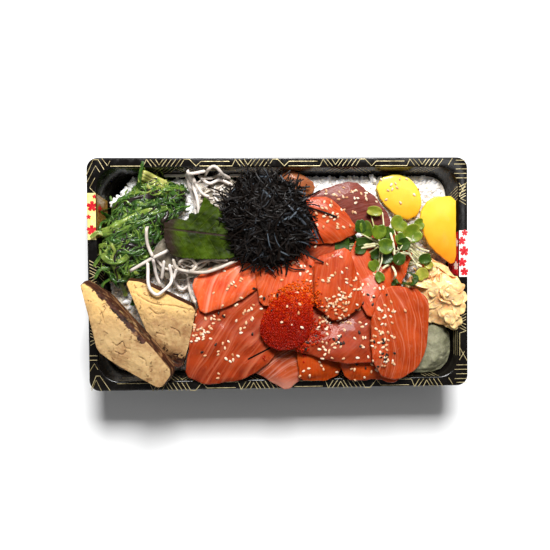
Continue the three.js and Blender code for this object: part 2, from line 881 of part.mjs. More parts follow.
const noriLumps = bumps(101, 10);
const NORI_TAILS = [
  [[4, 44], [16, 34], [25, 17]],
  [[8, 40], [22, 36], [33, 32]],
  [[5, 18], [14, 21], [22, 24]],
  [[4, 17], [14, 11], [24, 6]],
  [[2, 14], [4, 6], [3, -1]],
  [[-3, 10], [6, 3], [14, 2]],
  [[-41, 50], [-32, 46], [-22, 40]],
  [[0, 46], [10, 49], [18, 50]],
  [[6, 42], [16, 44], [24, 48]],
  [[-7, 50], [-3, 57], [1, 61]],
];

heap('nori_shreds', laid(outline([
  [-31, 44], [-25, 53], [-12, 58], [2, 55], [13, 44], [18, 31], [17, 17], [8, 8],
  [-5, 3], [-20, 6], [-28, 18], [-31, 33],
], { corner: 2, step: 18, wobble: 1.2, seed: 102 }), {
  rings: [0.62],
  thickness: 12,
  edge: 2.5,
  power: 1.7,
  bevel: 1.2,
  stiffness: 3,
  relief: (x, y) => 1.2 * noriLumps(x, y),
}), finish(0x14161a, 0.35), (add, own) => {
  const random = seededRandom(103);
  const half = [NORI_SHRED.width / 2, NORI_SHRED.thickness / 2];
  const { middle: [middleX, middleY], spread: [spreadX, spreadY] } = NORI_MOUND;
  for (let i = 0; i < NORI_SHRED.count; i += 1) {
    const bearing = i * GOLDEN_TURN;
    const away = Math.sqrt((i + 0.5) / NORI_SHRED.count);
    const x = middleX + spreadX * away * Math.cos(bearing);
    const y = middleY + spreadY * away * Math.sin(bearing);
    const turn = random() * Math.PI;
    const reach = 6 + random() * 3;
    const bend = (random() - 0.5) * 5;
    const route = [
      [x - reach * Math.cos(turn), y - reach * Math.sin(turn)],
      [x - bend * Math.sin(turn), y + bend * Math.cos(turn)],
      [x + reach * Math.cos(turn), y + reach * Math.sin(turn)],
    ];
    add(strand(route, { half, steps: 2, own, sink: 0.5, arch: 1 + random() * 1.5 }));
  }
  for (const route of NORI_TAILS) {
    add(strand(route, { half, steps: 3, own, sink: 0.5, arch: 0.6 }));
  }
});

const roeBumps = bumps(111, 4);
place('roe_mound', laid(smoothOutline([
  [-12, -33], [-10, -23], [-3, -14], [6, -9.5], [15, -12], [18, -23], [14, -37], [3, -43], [-7, -41],
], 20), {
  rings: [0.8, 0.55, 0.28],
  thickness: 6,
  edge: 1.6,
  power: 2.2,
  bevel: 0.8,
  stiffness: 2,
  relief: (x, y) => 0.5 * roeBumps(x, y),
}), finish(0xd22a08, 0.25));

// Each sprout is its head, the foot of its stem, the way its two leaves spread and their size.
const SPROUTS = [
  [[71, 28.5], [66, 17], 125, 1],
  [[79.5, 25.5], [70, 16], 50, 1.2],
  [[47, 25], [56, 18], 160, 0.9],
  [[59, 19], [62, 15], 130, 1],
  [[38, 12], [50, 16], 120, 0.9],
  [[67, 10], [66, 15], 60, 0.9],
  [[57, 1.5], [63, 10], 10, 0.9],
  [[71, -2.5], [68, 9], 165, 1.4],
  [[84, 1.5], [72, 10], 50, 0.9],
  [[85, 9], [74, 14], 45, 0.8],
  [[56, 33.5], [60, 22], 100, 0.8],
];

// One seed leaf, a thin wavy blade about its middle.
function seedLeaf(x, y, z, turn, size) {
  const [length, width] = SPROUT.leaf;
  const count = 6;
  const rim = Array.from({ length: count }, (_, i) => {
    const angle = (i / count) * 2 * Math.PI;
    const along = Math.cos(angle) * length * 0.5 * size;
    const across = Math.sin(angle) * width * 0.5 * size;
    const px = x + along * Math.cos(turn) - across * Math.sin(turn);
    const py = y + along * Math.sin(turn) + across * Math.cos(turn);
    return new THREE.Vector3(px, py, z + 0.4 + 0.4 * Math.sin(2 * angle));
  });
  const thick = new THREE.Vector3(0, 0, SPROUT.leafThickness);
  const shell = new Shell();
  const low = shell.ring(rim);
  const high = shell.ring(rim.map((p) => p.clone().add(thick)));
  const underside = shell.ring([new THREE.Vector3(x, y, z)])[0];
  const face = shell.ring([new THREE.Vector3(x, y, z + SPROUT.leafThickness)])[0];
  shell.band(low, high);
  shell.fan(high, face);
  shell.fan([...low].reverse(), underside);
  return shell.geometry();
}

const sproutLumps = bumps(121, 9);
heap('radish_sprouts', laid(outline([
  [49, 15], [57, 23], [71, 25], [79, 18], [76, 8], [63, 7],
], { corner: 2, step: 12, wobble: 1, seed: 122 }), {
  rings: [0.5],
  thickness: 4.5,
  edge: 1.5,
  power: 2,
  bevel: 0.8,
  stiffness: 2,
  relief: (x, y) => 0.8 * sproutLumps(x, y),
}), finish(0x5d8a2c, 0.5), (add, own) => {
  const half = [SPROUT.stemRadius, SPROUT.stemRadius];
  for (const [[x, y], foot, spread, size] of SPROUTS) {
    const bent = [(foot[0] + x) / 2 + 1, (foot[1] + y) / 2 - 1];
    const turn = THREE.MathUtils.degToRad(spread);
    const away = SPROUT.leaf[0] * 0.38 * size;
    const beneath = pile.highest(x, y, SPROUT.leaf[0] * 0.9 * size) + GAP;
    const endHeight = Math.max(beneath, own.height[own.cell(x, y)]);
    add(strand([foot, bent, [x, y]], { half, steps: 2, own, sink: 0.6, arch: 0.4, endHeight }));
    for (const side of [-1, 1]) {
      const leafX = x + side * away * Math.cos(turn);
      const leafY = y + side * away * Math.sin(turn);
      add(seedLeaf(leafX, leafY, endHeight, turn, size));
    }
  }
});

// ---- sesame: middle, spread and number of seeds of each sprinkling

const SESAME_PATCHES = [
  [[37, -17], 10, 9],
  [[32, -38], 10, 7],
  [[60, -36], 8, 5],
  [[58, -52], 7, 3],
  [[-43, -32], 6, 5],
  [[-26, 0], 7, 2],
  [[42, 44], 8, 4],
  [[6, -3], 8, 3],
  [[30, 30], 8, 3],
];

const seeds = new Map();
const seedRandom = seededRandom(131);
for (const [[midX, midY], spread, count] of SESAME_PATCHES) {
  for (let i = 0; i < count; i += 1) {
    const bearing = seedRandom() * 2 * Math.PI;
    const away = spread * Math.sqrt(seedRandom());
    const x = midX + away * Math.cos(bearing);
    const y = midY + away * Math.sin(bearing);
    const turn = seedRandom() * Math.PI;
    const owner = pile.soleOwner(x, y, SESAME.clear);
    if (owner.startsWith('salmon') || owner.startsWith('tuna')) {
      const z = pile.height[pile.cell(x, y)] + SESAME.size[2] / 2 - SESAME.sunk;
      const spot = new THREE.Vector3(x, y, z);
      const placed = seeds.get(owner) ?? [];
      if (placed.every((seed) => seed.spot.distanceTo(spot) > SESAME.apart)) {
        placed.push({ spot, body: grain(SESAME.size, spot, turn, 0) });
      }
      seeds.set(owner, placed);
    }
  }
}

for (const [name, { geometry, material }] of bodies) {
  const sprinkled = seeds.get(name) ?? [];
  const whole = sprinkled.length > 0 ? fuse(geometry, sprinkled.map((seed) => seed.body)) : geometry;
  whole.computeVertexNormals();
  const mesh = new THREE.Mesh(whole, material);
  mesh.name = name;
  group.add(mesh);
}

export default group;
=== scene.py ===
"""A salmon rice bowl: raw fish, salads and pickles over rice in a rectangular takeaway tray.

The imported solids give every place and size. Each is replaced by a finer piece of the same form.
Lengths are millimetres until a mesh is made of them, and colours are written as 0xRRGGBB.
"""

from __future__ import annotations

import logging
import math
import random
from dataclasses import dataclass, field
from enum import Enum
from functools import cache
from typing import Callable, Iterator, Sequence

import bpy
import numpy as np
from mathutils import Euler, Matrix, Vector, noise
from mathutils.bvhtree import BVHTree


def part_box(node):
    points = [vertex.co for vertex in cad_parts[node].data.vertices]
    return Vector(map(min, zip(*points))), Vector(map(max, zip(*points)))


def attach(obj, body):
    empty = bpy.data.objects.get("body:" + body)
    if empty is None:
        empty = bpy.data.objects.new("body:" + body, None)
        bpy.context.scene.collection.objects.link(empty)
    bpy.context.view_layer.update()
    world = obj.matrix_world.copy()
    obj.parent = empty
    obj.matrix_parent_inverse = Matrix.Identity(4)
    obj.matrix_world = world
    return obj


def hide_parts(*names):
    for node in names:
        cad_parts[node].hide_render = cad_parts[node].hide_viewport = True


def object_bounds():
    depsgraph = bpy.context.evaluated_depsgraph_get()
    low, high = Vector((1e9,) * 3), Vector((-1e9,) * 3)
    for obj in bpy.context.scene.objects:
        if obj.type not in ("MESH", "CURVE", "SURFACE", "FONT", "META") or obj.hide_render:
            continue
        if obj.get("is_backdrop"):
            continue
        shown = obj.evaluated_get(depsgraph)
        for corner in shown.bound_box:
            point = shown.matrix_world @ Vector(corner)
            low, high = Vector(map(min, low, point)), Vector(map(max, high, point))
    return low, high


log = logging.getLogger("rice_bowl")
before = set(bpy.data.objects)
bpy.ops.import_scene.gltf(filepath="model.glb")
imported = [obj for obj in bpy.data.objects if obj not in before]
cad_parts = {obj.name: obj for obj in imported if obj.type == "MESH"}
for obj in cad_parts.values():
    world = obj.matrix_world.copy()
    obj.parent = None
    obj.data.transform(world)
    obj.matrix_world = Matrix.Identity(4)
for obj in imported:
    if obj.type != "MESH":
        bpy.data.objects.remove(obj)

MM = 0.001
TURN = 2 * math.pi
DOWN = Vector((0, 0, -1))
UP = Vector((0, 0, 1))
BODY = "root"

Object = bpy.types.Object
Material = bpy.types.Material
Socket = bpy.types.NodeSocket
Value = float | tuple | Socket
Route = Sequence[tuple[float, float]]
Place = tuple[float, float, float]
Scale = tuple[tuple[float, int], ...]
Relief = Callable[[np.ndarray, np.ndarray, np.ndarray], np.ndarray]
Fields = Callable[[np.ndarray], dict[str, np.ndarray]]


# ---------------------------------------------------------------- colours and materials


def rgb(code: int) -> tuple[float, float, float, float]:
    """Turns a screen colour, 0xRRGGBB, into the linear colour that a shader takes."""
    channels = [((code >> shift) & 255) / 255 for shift in (16, 8, 0)]
    linear = [c / 12.92 if c <= 0.04045 else ((c + 0.055) / 1.055) ** 2.4 for c in channels]
    return (*linear, 1.0)


def feed(tree: bpy.types.NodeTree, node: bpy.types.Node, inputs: dict) -> None:
    """Links or sets some of a node's inputs.

    Args:
        tree: The tree that the node is in.
        node: The node.
        inputs: A constant or a socket for each input, by name or number.
    """
    for key, value in inputs.items():
        if isinstance(value, Socket):
            tree.links.new(value, node.inputs[key])
        else:
            node.inputs[key].default_value = value


def add_node(tree: bpy.types.NodeTree, kind: str, inputs: dict, **settings: object) -> bpy.types.Node:
    """Adds a node.

    Args:
        tree: The tree that it is added to.
        kind: The node's type.
        inputs: What its inputs get, as feed takes it.
        settings: The node's own properties.

    Returns:
        The new node.
    """
    node = tree.nodes.new(kind)
    for key, value in settings.items():
        setattr(node, key, value)
    feed(tree, node, inputs)
    return node


class Shader:
    """The node tree of one finish, put together from small parts."""

    def __init__(self, name: str) -> None:
        """Starts a material of a name that has only its principled surface."""
        self.material = bpy.data.materials.new(name)
        self.material.use_nodes = True
        self.tree = self.material.node_tree

    def add(self, kind: str, inputs: dict, **settings: object) -> bpy.types.Node:
        """Adds a node, as add_node does."""
        return add_node(self.tree, kind, inputs, **settings)

    def spot(self) -> Socket:
        """Gives the place on the object, in millimetres."""
        place = self.add("ShaderNodeTexCoord", {}).outputs["Object"]
        return self.add("ShaderNodeVectorMath", {0: place, "Scale": 1 / MM}, operation="SCALE").outputs[0]

    def attribute(self, name: str, output: str = "Fac") -> Socket:
        """Reads a mesh attribute, as a number or, with the output Vector, as a vector."""
        return self.add("ShaderNodeAttribute", {}, attribute_name=name).outputs[output]

    def stretch(self, vector: Socket, scale: Place, turn: float = 0.0) -> Socket:
        """Turns a vector about Z by an angle in degrees and then scales it."""
        turned = {"Vector": vector, "Rotation": (0, 0, math.radians(turn))}
        return self.add("ShaderNodeMapping", {**turned, "Scale": scale}, vector_type="POINT").outputs[0]

    def noise(self, vector: Socket, size: float, detail: float = 2.0, distortion: float = 0.0) -> Socket:
        """Gives cloudy noise about 0.5, with patches of a size in millimetres."""
        inputs = {"Vector": vector, "Scale": 1 / size, "Detail": detail, "Distortion": distortion}
        return self.add("ShaderNodeTexNoise", inputs).outputs[0]

    def cells(self, vector: Socket, size: float) -> Socket:
        """Gives the distance to the middle of rounded cells of a size in millimetres."""
        return self.add("ShaderNodeTexVoronoi", {"Vector": vector, "Scale": 1 / size}).outputs[0]

    def maths(self, operation: str, first: Value, second: Value = 0.0, clamp: bool = False) -> Socket:
        """Works out one sum with two numbers, kept between 0 and 1 where it is clamped."""
        settings = {"operation": operation, "use_clamp": clamp}
        return self.add("ShaderNodeMath", {0: first, 1: second}, **settings).outputs[0]

    def mixed(self, first: Value, share: float, second: Value, other: float) -> Socket:
        """Adds up a share of each of two numbers."""
        return self.maths("ADD", self.maths("MULTIPLY", first, share), self.maths("MULTIPLY", second, other))

    def part(self, vector: Socket, axis: int) -> Socket:
        """Gives one of a vector's three numbers."""
        return self.add("ShaderNodeSeparateXYZ", {0: vector}).outputs[axis]

    def ramp(self, fac: Socket, stops: Sequence[tuple[float, int]]) -> Socket:
        """Turns a number into a colour.

        Args:
            fac: The number.
            stops: Places from 0 to 1, each with its colour.

        Returns:
            The colour.
        """
        node = self.add("ShaderNodeValToRGB", {0: fac})
        elements = node.color_ramp.elements
        while len(elements) < len(stops):
            elements.new(0.5)
        for element, (place, code) in zip(elements, stops):
            element.position = place
            element.color = rgb(code)
        return node.outputs[0]

    def window(self, fac: Value, low: float, high: float, start: float = 0.0, end: float = 1.0) -> Socket:
        """Maps a number smoothly from the range low to high to the range start to end."""
        inputs = {0: fac, 1: low, 2: high, 3: start, 4: end}
        return self.add("ShaderNodeMapRange", inputs, interpolation_type="SMOOTHSTEP").outputs[0]

    def blend(self, fac: Value, first: Value, second: Value) -> Socket:
        """Mixes two colours, with a share fac of the second."""
        return self.add("ShaderNodeMix", {0: fac, 6: first, 7: second}, data_type="RGBA").outputs[2]

    def bump(self, height: Socket, depth: float, under: Socket | None = None) -> Socket:
        """Turns a height of 0 to 1, times a depth in millimetres, into a normal added to one under it."""
        inputs = {"Strength": 1.0, "Distance": depth * MM, "Height": height}
        return self.add("ShaderNodeBump", inputs if under is None else {**inputs, "Normal": under}).outputs[0]

    def dress(self, inputs: dict[str, Value]) -> Material:
        """Sets the surface's inputs and gives the finished material."""
        feed(self.tree, self.tree.nodes["Principled BSDF"], inputs)
        return self.material


def translucent(weight: float, radius: float, tint: Place) -> dict[str, Value]:
    """Gives the inputs of a surface that light sinks into, by a radius in millimetres for each colour."""
    return {"Subsurface Weight": weight, "Subsurface Radius": tint, "Subsurface Scale": radius * MM}


# ---------------------------------------------------------------- meshes


def make_object(
    name: str,
    points: np.ndarray,
    faces: Sequence[Sequence[int]],
    material: Material,
    attributes: dict[str, np.ndarray] | None = None,
    smooth: bool = True,
) -> Object:
    """Makes an object of one mesh.

    Args:
        name: The object's name.
        points: One row of x, y and z for each point, in millimetres.
        faces: The corner numbers of each face, seen from outside against the clock.
        material: Its finish.
        attributes: Numbers or vectors for each point, by name.
        smooth: Whether the faces are shaded as one surface.

    Returns:
        The object, linked to the scene.
    """
    mesh = bpy.data.meshes.new(name)
    mesh.from_pydata((np.asarray(points, dtype=float) * MM).tolist(), [], faces)
    for key, values in (attributes or {}).items():
        values = np.asarray(values, dtype=float)
        kind, field_name = ("FLOAT", "value") if values.ndim == 1 else ("FLOAT_VECTOR", "vector")
        mesh.attributes.new(key, kind, "POINT").data.foreach_set(field_name, values.ravel())
    mesh.materials.append(material)
    mesh.shade_smooth() if smooth else mesh.shade_flat()
    mesh.update()
    obj = bpy.data.objects.new(name, mesh)
    bpy.context.collection.objects.link(obj)
    return obj


def joined(name: str, parts: Sequence[Object]) -> Object:
    """Joins parts into one object and names it."""
    with bpy.context.temp_override(active_object=parts[0], selected_editable_objects=list(parts)):
        bpy.ops.object.join()
    parts[0].name = name
    return parts[0]


def hand_over(obj: Object, slot: str, *nodes: str) -> Object:
    """Fixes a finished piece to the body and reports it.

    Args:
        obj: The piece.
        slot: The material slot that it belongs to.
        nodes: The solids that it stands for.

    Returns:
        The same piece.
    """
    if nodes:
        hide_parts(*nodes)
    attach(obj, BODY)
    triangles = sum(len(face.vertices) - 2 for face in obj.data.polygons)
    log.info("%s: %d triangles for %s", obj.name, triangles, ", ".join(nodes) or slot)
    return obj


def waves(x: np.ndarray, y: np.ndarray, wavelength: float, seed: int) -> np.ndarray:
    """Gives smooth bumps of about one unit.

    Args:
        x: Places along X.
        y: Places along Y.
        wavelength: How far apart the bumps are.
        seed: Which bumps they are.

    Returns:
        The height at each place.
    """
    draw = random.Random(seed)
    total = np.zeros(np.broadcast(x, y).shape)
    trains = 4
    for i in range(trains):
        angle = (i / trains) * math.pi + draw.random() * 0.7
        pitch = TURN / wavelength * (0.7 + 0.7 * draw.random())
        phase = draw.random() * TURN
        total += np.sin(pitch * (x * math.cos(angle) + y * math.sin(angle)) + phase)
    return total / trains


def crumbs(points: np.ndarray, size: float) -> np.ndarray:
    """Gives rough relief of about -1 to 1 at each point, with lumps of a size in millimetres."""
    return np.array([noise.fractal(Vector(p) / size, 1.0, 2.0, 4) for p in points])


def tinted(tint: float) -> Fields:
    """Gives what lends every point of a mesh the same tint."""
    return lambda points: {"tint": np.full(len(points), tint)}


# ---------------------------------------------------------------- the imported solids


class HeightMap:
    """Heights on a square grid over an outline, in millimetres."""

    def __init__(self, x0: float, y0: float, pitch: float, values: np.ndarray) -> None:
        """Keeps the heights and fills what lies outside the outline from its edge.

        Args:
            x0: Where the first column is.
            y0: Where the first row is.
            pitch: How far apart the columns and rows are.
            values: The heights, one row after another, not a number outside the outline.
        """
        self.x0, self.y0, self.pitch = x0, y0, pitch
        self.inside = ~np.isnan(values)
        self.values = self._spread(values)

    @staticmethod
    def _shifts(values: np.ndarray, reach: int) -> np.ndarray:
        """Stacks copies of a grid, each shifted by up to reach cells."""
        padded = np.pad(values, reach, mode="edge")
        rows, columns = values.shape
        span = range(2 * reach + 1)
        return np.stack([padded[j : j + rows, i : i + columns] for j in span for i in span])

    def _spread(self, values: np.ndarray) -> np.ndarray:
        """Fills the cells with no height from their neighbours, until none is left."""
        values = values.copy()
        while np.isnan(values).any():
            stack = self._shifts(values, 1)
            known = ~np.isnan(stack)
            count = known.sum(axis=0)
            mean = np.where(known, stack, 0).sum(axis=0) / np.maximum(count, 1)
            empty = np.isnan(values) & (count > 0)
            values[empty] = mean[empty]
        return values

    def cleared(self, reach: int) -> HeightMap:
        """Takes small seeds off the surface with a median over reach cells each way."""
        return HeightMap(self.x0, self.y0, self.pitch, np.median(self._shifts(self.values, reach), axis=0))

    def smoothed(self, rounds: int) -> HeightMap:
        """Evens the heights out, a cell further with each round."""
        values = self.values
        for _ in range(rounds):
            values = self._shifts(values, 1).mean(axis=0)
        return HeightMap(self.x0, self.y0, self.pitch, values)

    def read(self, x: np.ndarray, y: np.ndarray) -> np.ndarray:
        """Reads the height at places between the grid's points.

        Args:
            x: Places along X.
            y: Places along Y.

        Returns:
            The height at each place.
        """
        rows, columns = self.values.shape
        last = 1.001
        u = np.clip((np.asarray(x) - self.x0) / self.pitch, 0, columns - last)
        v = np.clip((np.asarray(y) - self.y0) / self.pitch, 0, rows - last)
        i, j = u.astype(int), v.astype(int)
        fu, fv = u - i, v - j
        low = self.values[j, i] * (1 - fu) + self.values[j, i + 1] * fu
        high = self.values[j + 1, i] * (1 - fu) + self.values[j + 1, i + 1] * fu
        return low * (1 - fv) + high * fv


class Form:
    """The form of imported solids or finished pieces, read from above and from below."""

    pitch = 0.7
    step = 0.4

    def __init__(self, objects: Sequence[Object]) -> None:
        """Reads the meshes of some objects, taken together."""
        corners: list[Vector] = []
        faces: list[list[int]] = []
        self.owners: list[str] = []
        for obj in objects:
            base = len(corners)
            corners += [obj.matrix_world @ v.co / MM for v in obj.data.vertices]
            faces += [[base + i for i in p.vertices] for p in obj.data.polygons]
            self.owners += [obj.name] * len(obj.data.polygons)
        self.tree = BVHTree.FromPolygons(corners, faces)
        places = np.array(corners)
        self.low, self.high = places.min(axis=0), places.max(axis=0)

    @classmethod
    def of(cls, *names: str) -> Form:
        """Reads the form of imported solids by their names."""
        return cls([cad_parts[name] for name in names])

    def top(self, x: float, y: float) -> float | None:
        """Gives how high it reaches over a place, or nothing beside it."""
        hit = self.tree.ray_cast(Vector((x, y, self.high[2] + 1)), DOWN)[0]
        return hit.z if hit else None

    def under(self, x: float, y: float) -> float | None:
        """Gives how low it reaches over a place, or nothing beside it."""
        hit = self.tree.ray_cast(Vector((x, y, self.low[2] - 1)), UP)[0]
        return hit.z if hit else None

    def touch(self, x: float, y: float) -> tuple[Vector, Vector, str] | None:
        """Gives the highest point over a place, the way it faces and whose it is."""
        hit, normal, index, _ = self.tree.ray_cast(Vector((x, y, self.high[2] + 1)), DOWN)
        return (hit, normal, self.owners[index]) if hit else None

    def maps(self) -> tuple[HeightMap, HeightMap]:
        """Reads the heights of the top and of the underside on a grid."""
        pitch = self.pitch
        xs, ys = (np.arange(self.low[i] - pitch, self.high[i] + pitch, pitch) for i in (0, 1))
        grids = []
        for look in (self.top, self.under):
            rows = [[np.nan if (z := look(x, y)) is None else z for x in xs] for y in ys]
            grids.append(HeightMap(xs[0], ys[0], pitch, np.array(rows, dtype=float)))
        return grids[0], grids[1]

    def spots(self, draw: random.Random, count: int) -> Iterator[Place]:
        """Draws places over the form.

        Args:
            draw: Where the random numbers come from.
            count: How many places are wanted.

        Yields:
            Each place, with the height there.
        """
        while count:
            x, y = draw.uniform(self.low[0], self.high[0]), draw.uniform(self.low[1], self.high[1])
            z = self.top(x, y)
            if z is not None:
                count -= 1
                yield x, y, z

    def reach(self, centre: tuple[float, float], angle: float) -> float:
        """Gives how far the outline is from a point, seen from above.

        Args:
            centre: The point.
            angle: The way to look, in radians.

        Returns:
            The distance.
        """
        dx, dy = math.cos(angle), math.sin(angle)
        far = max(math.hypot(self.high[0] - self.low[0], self.high[1] - self.low[1]), self.step)
        while far > self.step and self.top(centre[0] + far * dx, centre[1] + far * dy) is None:
            far -= self.step
        near = far
        far += self.step
        for _ in range(5):
            half = (near + far) / 2
            if self.top(centre[0] + half * dx, centre[1] + half * dy) is None:
                far = half
            else:
                near = half
        return near


@cache
def tray_size() -> tuple[float, float, float]:
    """Gives the tray's outer length, width and height in millimetres."""
    low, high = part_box("tray")
    return tuple((high[i] - low[i]) / MM for i in range(3))


@dataclass(frozen=True)
class Cavity:
    """The space inside the tray, whose walls lean out towards the rim."""

    rim: float = 6.0
    draft: float = math.radians(14)
    corner: float = 12.0

    def hold(self, points: np.ndarray, margin: float) -> np.ndarray:
        """Moves what would stick into a wall back inside it.

        Args:
            points: One row for each point. Those above the rim stay where they are.
            margin: How far from the wall they are held.

        Returns:
            The points, moved towards the middle where they need to be.
        """
        length, width, height = tray_size()
        held = np.array(points, dtype=float)
        inset = self.rim + (height - held[:, 2]) * math.tan(self.draft) + margin
        span = np.column_stack([length / 2 - inset, width / 2 - inset])
        flat = np.clip(held[:, :2], -span, span)
        beyond = np.abs(flat) - (span - self.corner)
        away = np.maximum(np.hypot(*np.maximum(beyond, 0).T), 1e-6)
        rounded = np.sign(flat) * (span - self.corner + beyond * (self.corner / away)[:, None])
        in_corner = (beyond > 0).all(axis=1) & (away > self.corner)
        flat = np.where(in_corner[:, None], rounded, flat)
        below = held[:, 2] < height
        held[below, :2] = flat[below]
        return held


CAVITY = Cavity()


# ---------------------------------------------------------------- node trees for what repeats


class Tree:
    """A geometry node tree with named inputs."""

    def __init__(self, name: str, **inputs: str) -> None:
        """Starts a tree.

        Args:
            name: Its name.
            inputs: The kind of socket of each of its own inputs, beside those that every tree has.
        """
        self.group = bpy.data.node_groups.new(name, "GeometryNodeTree")
        sockets = self.group.interface
        for title, kind in {"Geometry": "Geometry", **inputs, "Smooth": "Bool", "Material": "Material"}.items():
            sockets.new_socket(title, in_out="INPUT", socket_type=f"NodeSocket{kind}")
        sockets.new_socket("Geometry", in_out="OUTPUT", socket_type="NodeSocketGeometry")
        self.source = self.group.nodes.new("NodeGroupInput").outputs
        self.sink = self.group.nodes.new("NodeGroupOutput").inputs

    def add(self, kind: str, inputs: dict, **settings: object) -> bpy.types.Node:
        """Adds a node, as add_node does."""
        return add_node(self.group, kind, inputs, **settings)

    def named(self, name: str, kind: str = "FLOAT") -> Socket:
        """Reads an attribute of the mesh that comes in."""
        return self.add("GeometryNodeInputNamedAttribute", {"Name": name}, data_type=kind).outputs[0]

    def close(self, geometry: Socket) -> None:
        """Ends the tree with real meshes that have their material."""
        real = self.add("GeometryNodeRealizeInstances", {0: geometry}).outputs[0]
        smooth = self.add("GeometryNodeSetShadeSmooth", {0: real, "Shade Smooth": self.source["Smooth"]})
        material = self.source["Material"]
        dressed = self.add("GeometryNodeSetMaterial", {0: smooth.outputs[0], "Material": material})
        self.group.links.new(dressed.outputs[0], self.sink[0])

    def run(self, obj: Object, values: dict[str, object]) -> Object:
        """Runs the tree on an object and leaves the result as its plain mesh.

        Args:
            obj: The object with the points or paths.
            values: A value for each named input.

        Returns:
            The same object.
        """
        modifier = obj.modifiers.new("shape", "NODES")
        modifier.node_group = self.group
        for item in self.group.interface.items_tree:
            if item.in_out == "INPUT" and item.name in values:
                modifier[item.identifier] = values[item.name]
        obj.update_tag()
        evaluated = obj.evaluated_get(bpy.context.evaluated_depsgraph_get())
        mesh = bpy.data.meshes.new_from_object(evaluated)
        obj.modifiers.clear()
        raw, obj.data = obj.data, mesh
        bpy.data.meshes.remove(raw)
        mesh.name = obj.name
        return obj


@cache
def sweep_tree() -> Tree:
    """Builds the tree that runs a flat or round section along each path."""
    tree = Tree("section_along_path", Width="Float", Thickness="Float", Sides="Int")
    paths = tree.add("GeometryNodeMeshToCurve", {0: tree.source["Geometry"]}).outputs[0]
    facing = {0: paths, "Normal": tree.named("facing", "FLOAT_VECTOR")}
    turned = tree.add("GeometryNodeSetCurveNormal", facing, mode="FREE").outputs[0]
    around = {"Resolution": tree.source["Sides"], "Radius": 0.5}
    circle = tree.add("GeometryNodeCurvePrimitiveCircle", around)
    across = {0: tree.source["Thickness"], 1: tree.source["Width"], 2: 1.0}
    scale = tree.add("ShaderNodeCombineXYZ", across).outputs[0]
    section = tree.add("GeometryNodeTransform", {0: circle.outputs[0], "Scale": scale}).outputs[0]
    girth = {0: turned, 1: section, "Scale": tree.named("girth"), "Fill Caps": True}
    tree.close(tree.add("GeometryNodeCurveToMesh", girth).outputs[0])
    return tree


@cache
def scatter_tree() -> Tree:
    """Builds the tree that puts a grain, seed or egg on each point."""
    sizes = {"Length": "Float", "Width": "Float", "Height": "Float"}
    tree = Tree("grain_on_points", **sizes, Taper="Float", Detail="Int", Variation="Float", Seed="Int")
    finely = {"Radius": 0.5, "Subdivisions": tree.source["Detail"]}
    ball = tree.add("GeometryNodeMeshIcoSphere", finely).outputs[0]
    place = tree.add("GeometryNodeInputPosition", {}).outputs[0]
    along = tree.add("ShaderNodeSeparateXYZ", {0: place}).outputs[0]
    narrowing = {0: along, 1: tree.source["Taper"], 2: 1.0}
    thinner = tree.add("ShaderNodeMath", narrowing, operation="MULTIPLY_ADD").outputs[0]
    factor = tree.add("ShaderNodeCombineXYZ", {0: 1.0, 1: thinner, 2: thinner}).outputs[0]
    tapered = tree.add("ShaderNodeVectorMath", {0: place, 1: factor}, operation="MULTIPLY").outputs[0]
    shaped = tree.add("GeometryNodeSetPosition", {0: ball, "Position": tapered}).outputs[0]
    sizes = {0: tree.source["Length"], 1: tree.source["Width"], 2: tree.source["Height"]}
    scale = tree.add("ShaderNodeCombineXYZ", sizes).outputs[0]
    grain = tree.add("GeometryNodeTransform", {0: shaped, "Scale": scale}).outputs[0]
    change = {0: 1.0, 1: tree.source["Variation"]}
    least, most = (tree.add("ShaderNodeMath", change, operation=sign).outputs[0] for sign in ("SUBTRACT", "ADD"))
    span = {"Min_001": least, "Max_001": most, "Seed": tree.source["Seed"]}
    sized = tree.add("FunctionNodeRandomValue", {}, data_type="FLOAT")
    for key, value in span.items():
        socket = next(s for s in sized.inputs if s.identifier == key)
        tree.group.links.new(value, socket)
    spin = tree.add("FunctionNodeEulerToRotation", {0: tree.named("spin", "FLOAT_VECTOR")}).outputs[0]
    inputs = {"Points": tree.source["Geometry"], "Instance": grain, "Rotation": spin}
    inputs["Scale"] = sized.outputs[1]
    tree.close(tree.add("GeometryNodeInstanceOnPoints", inputs).outputs[0])
    return tree


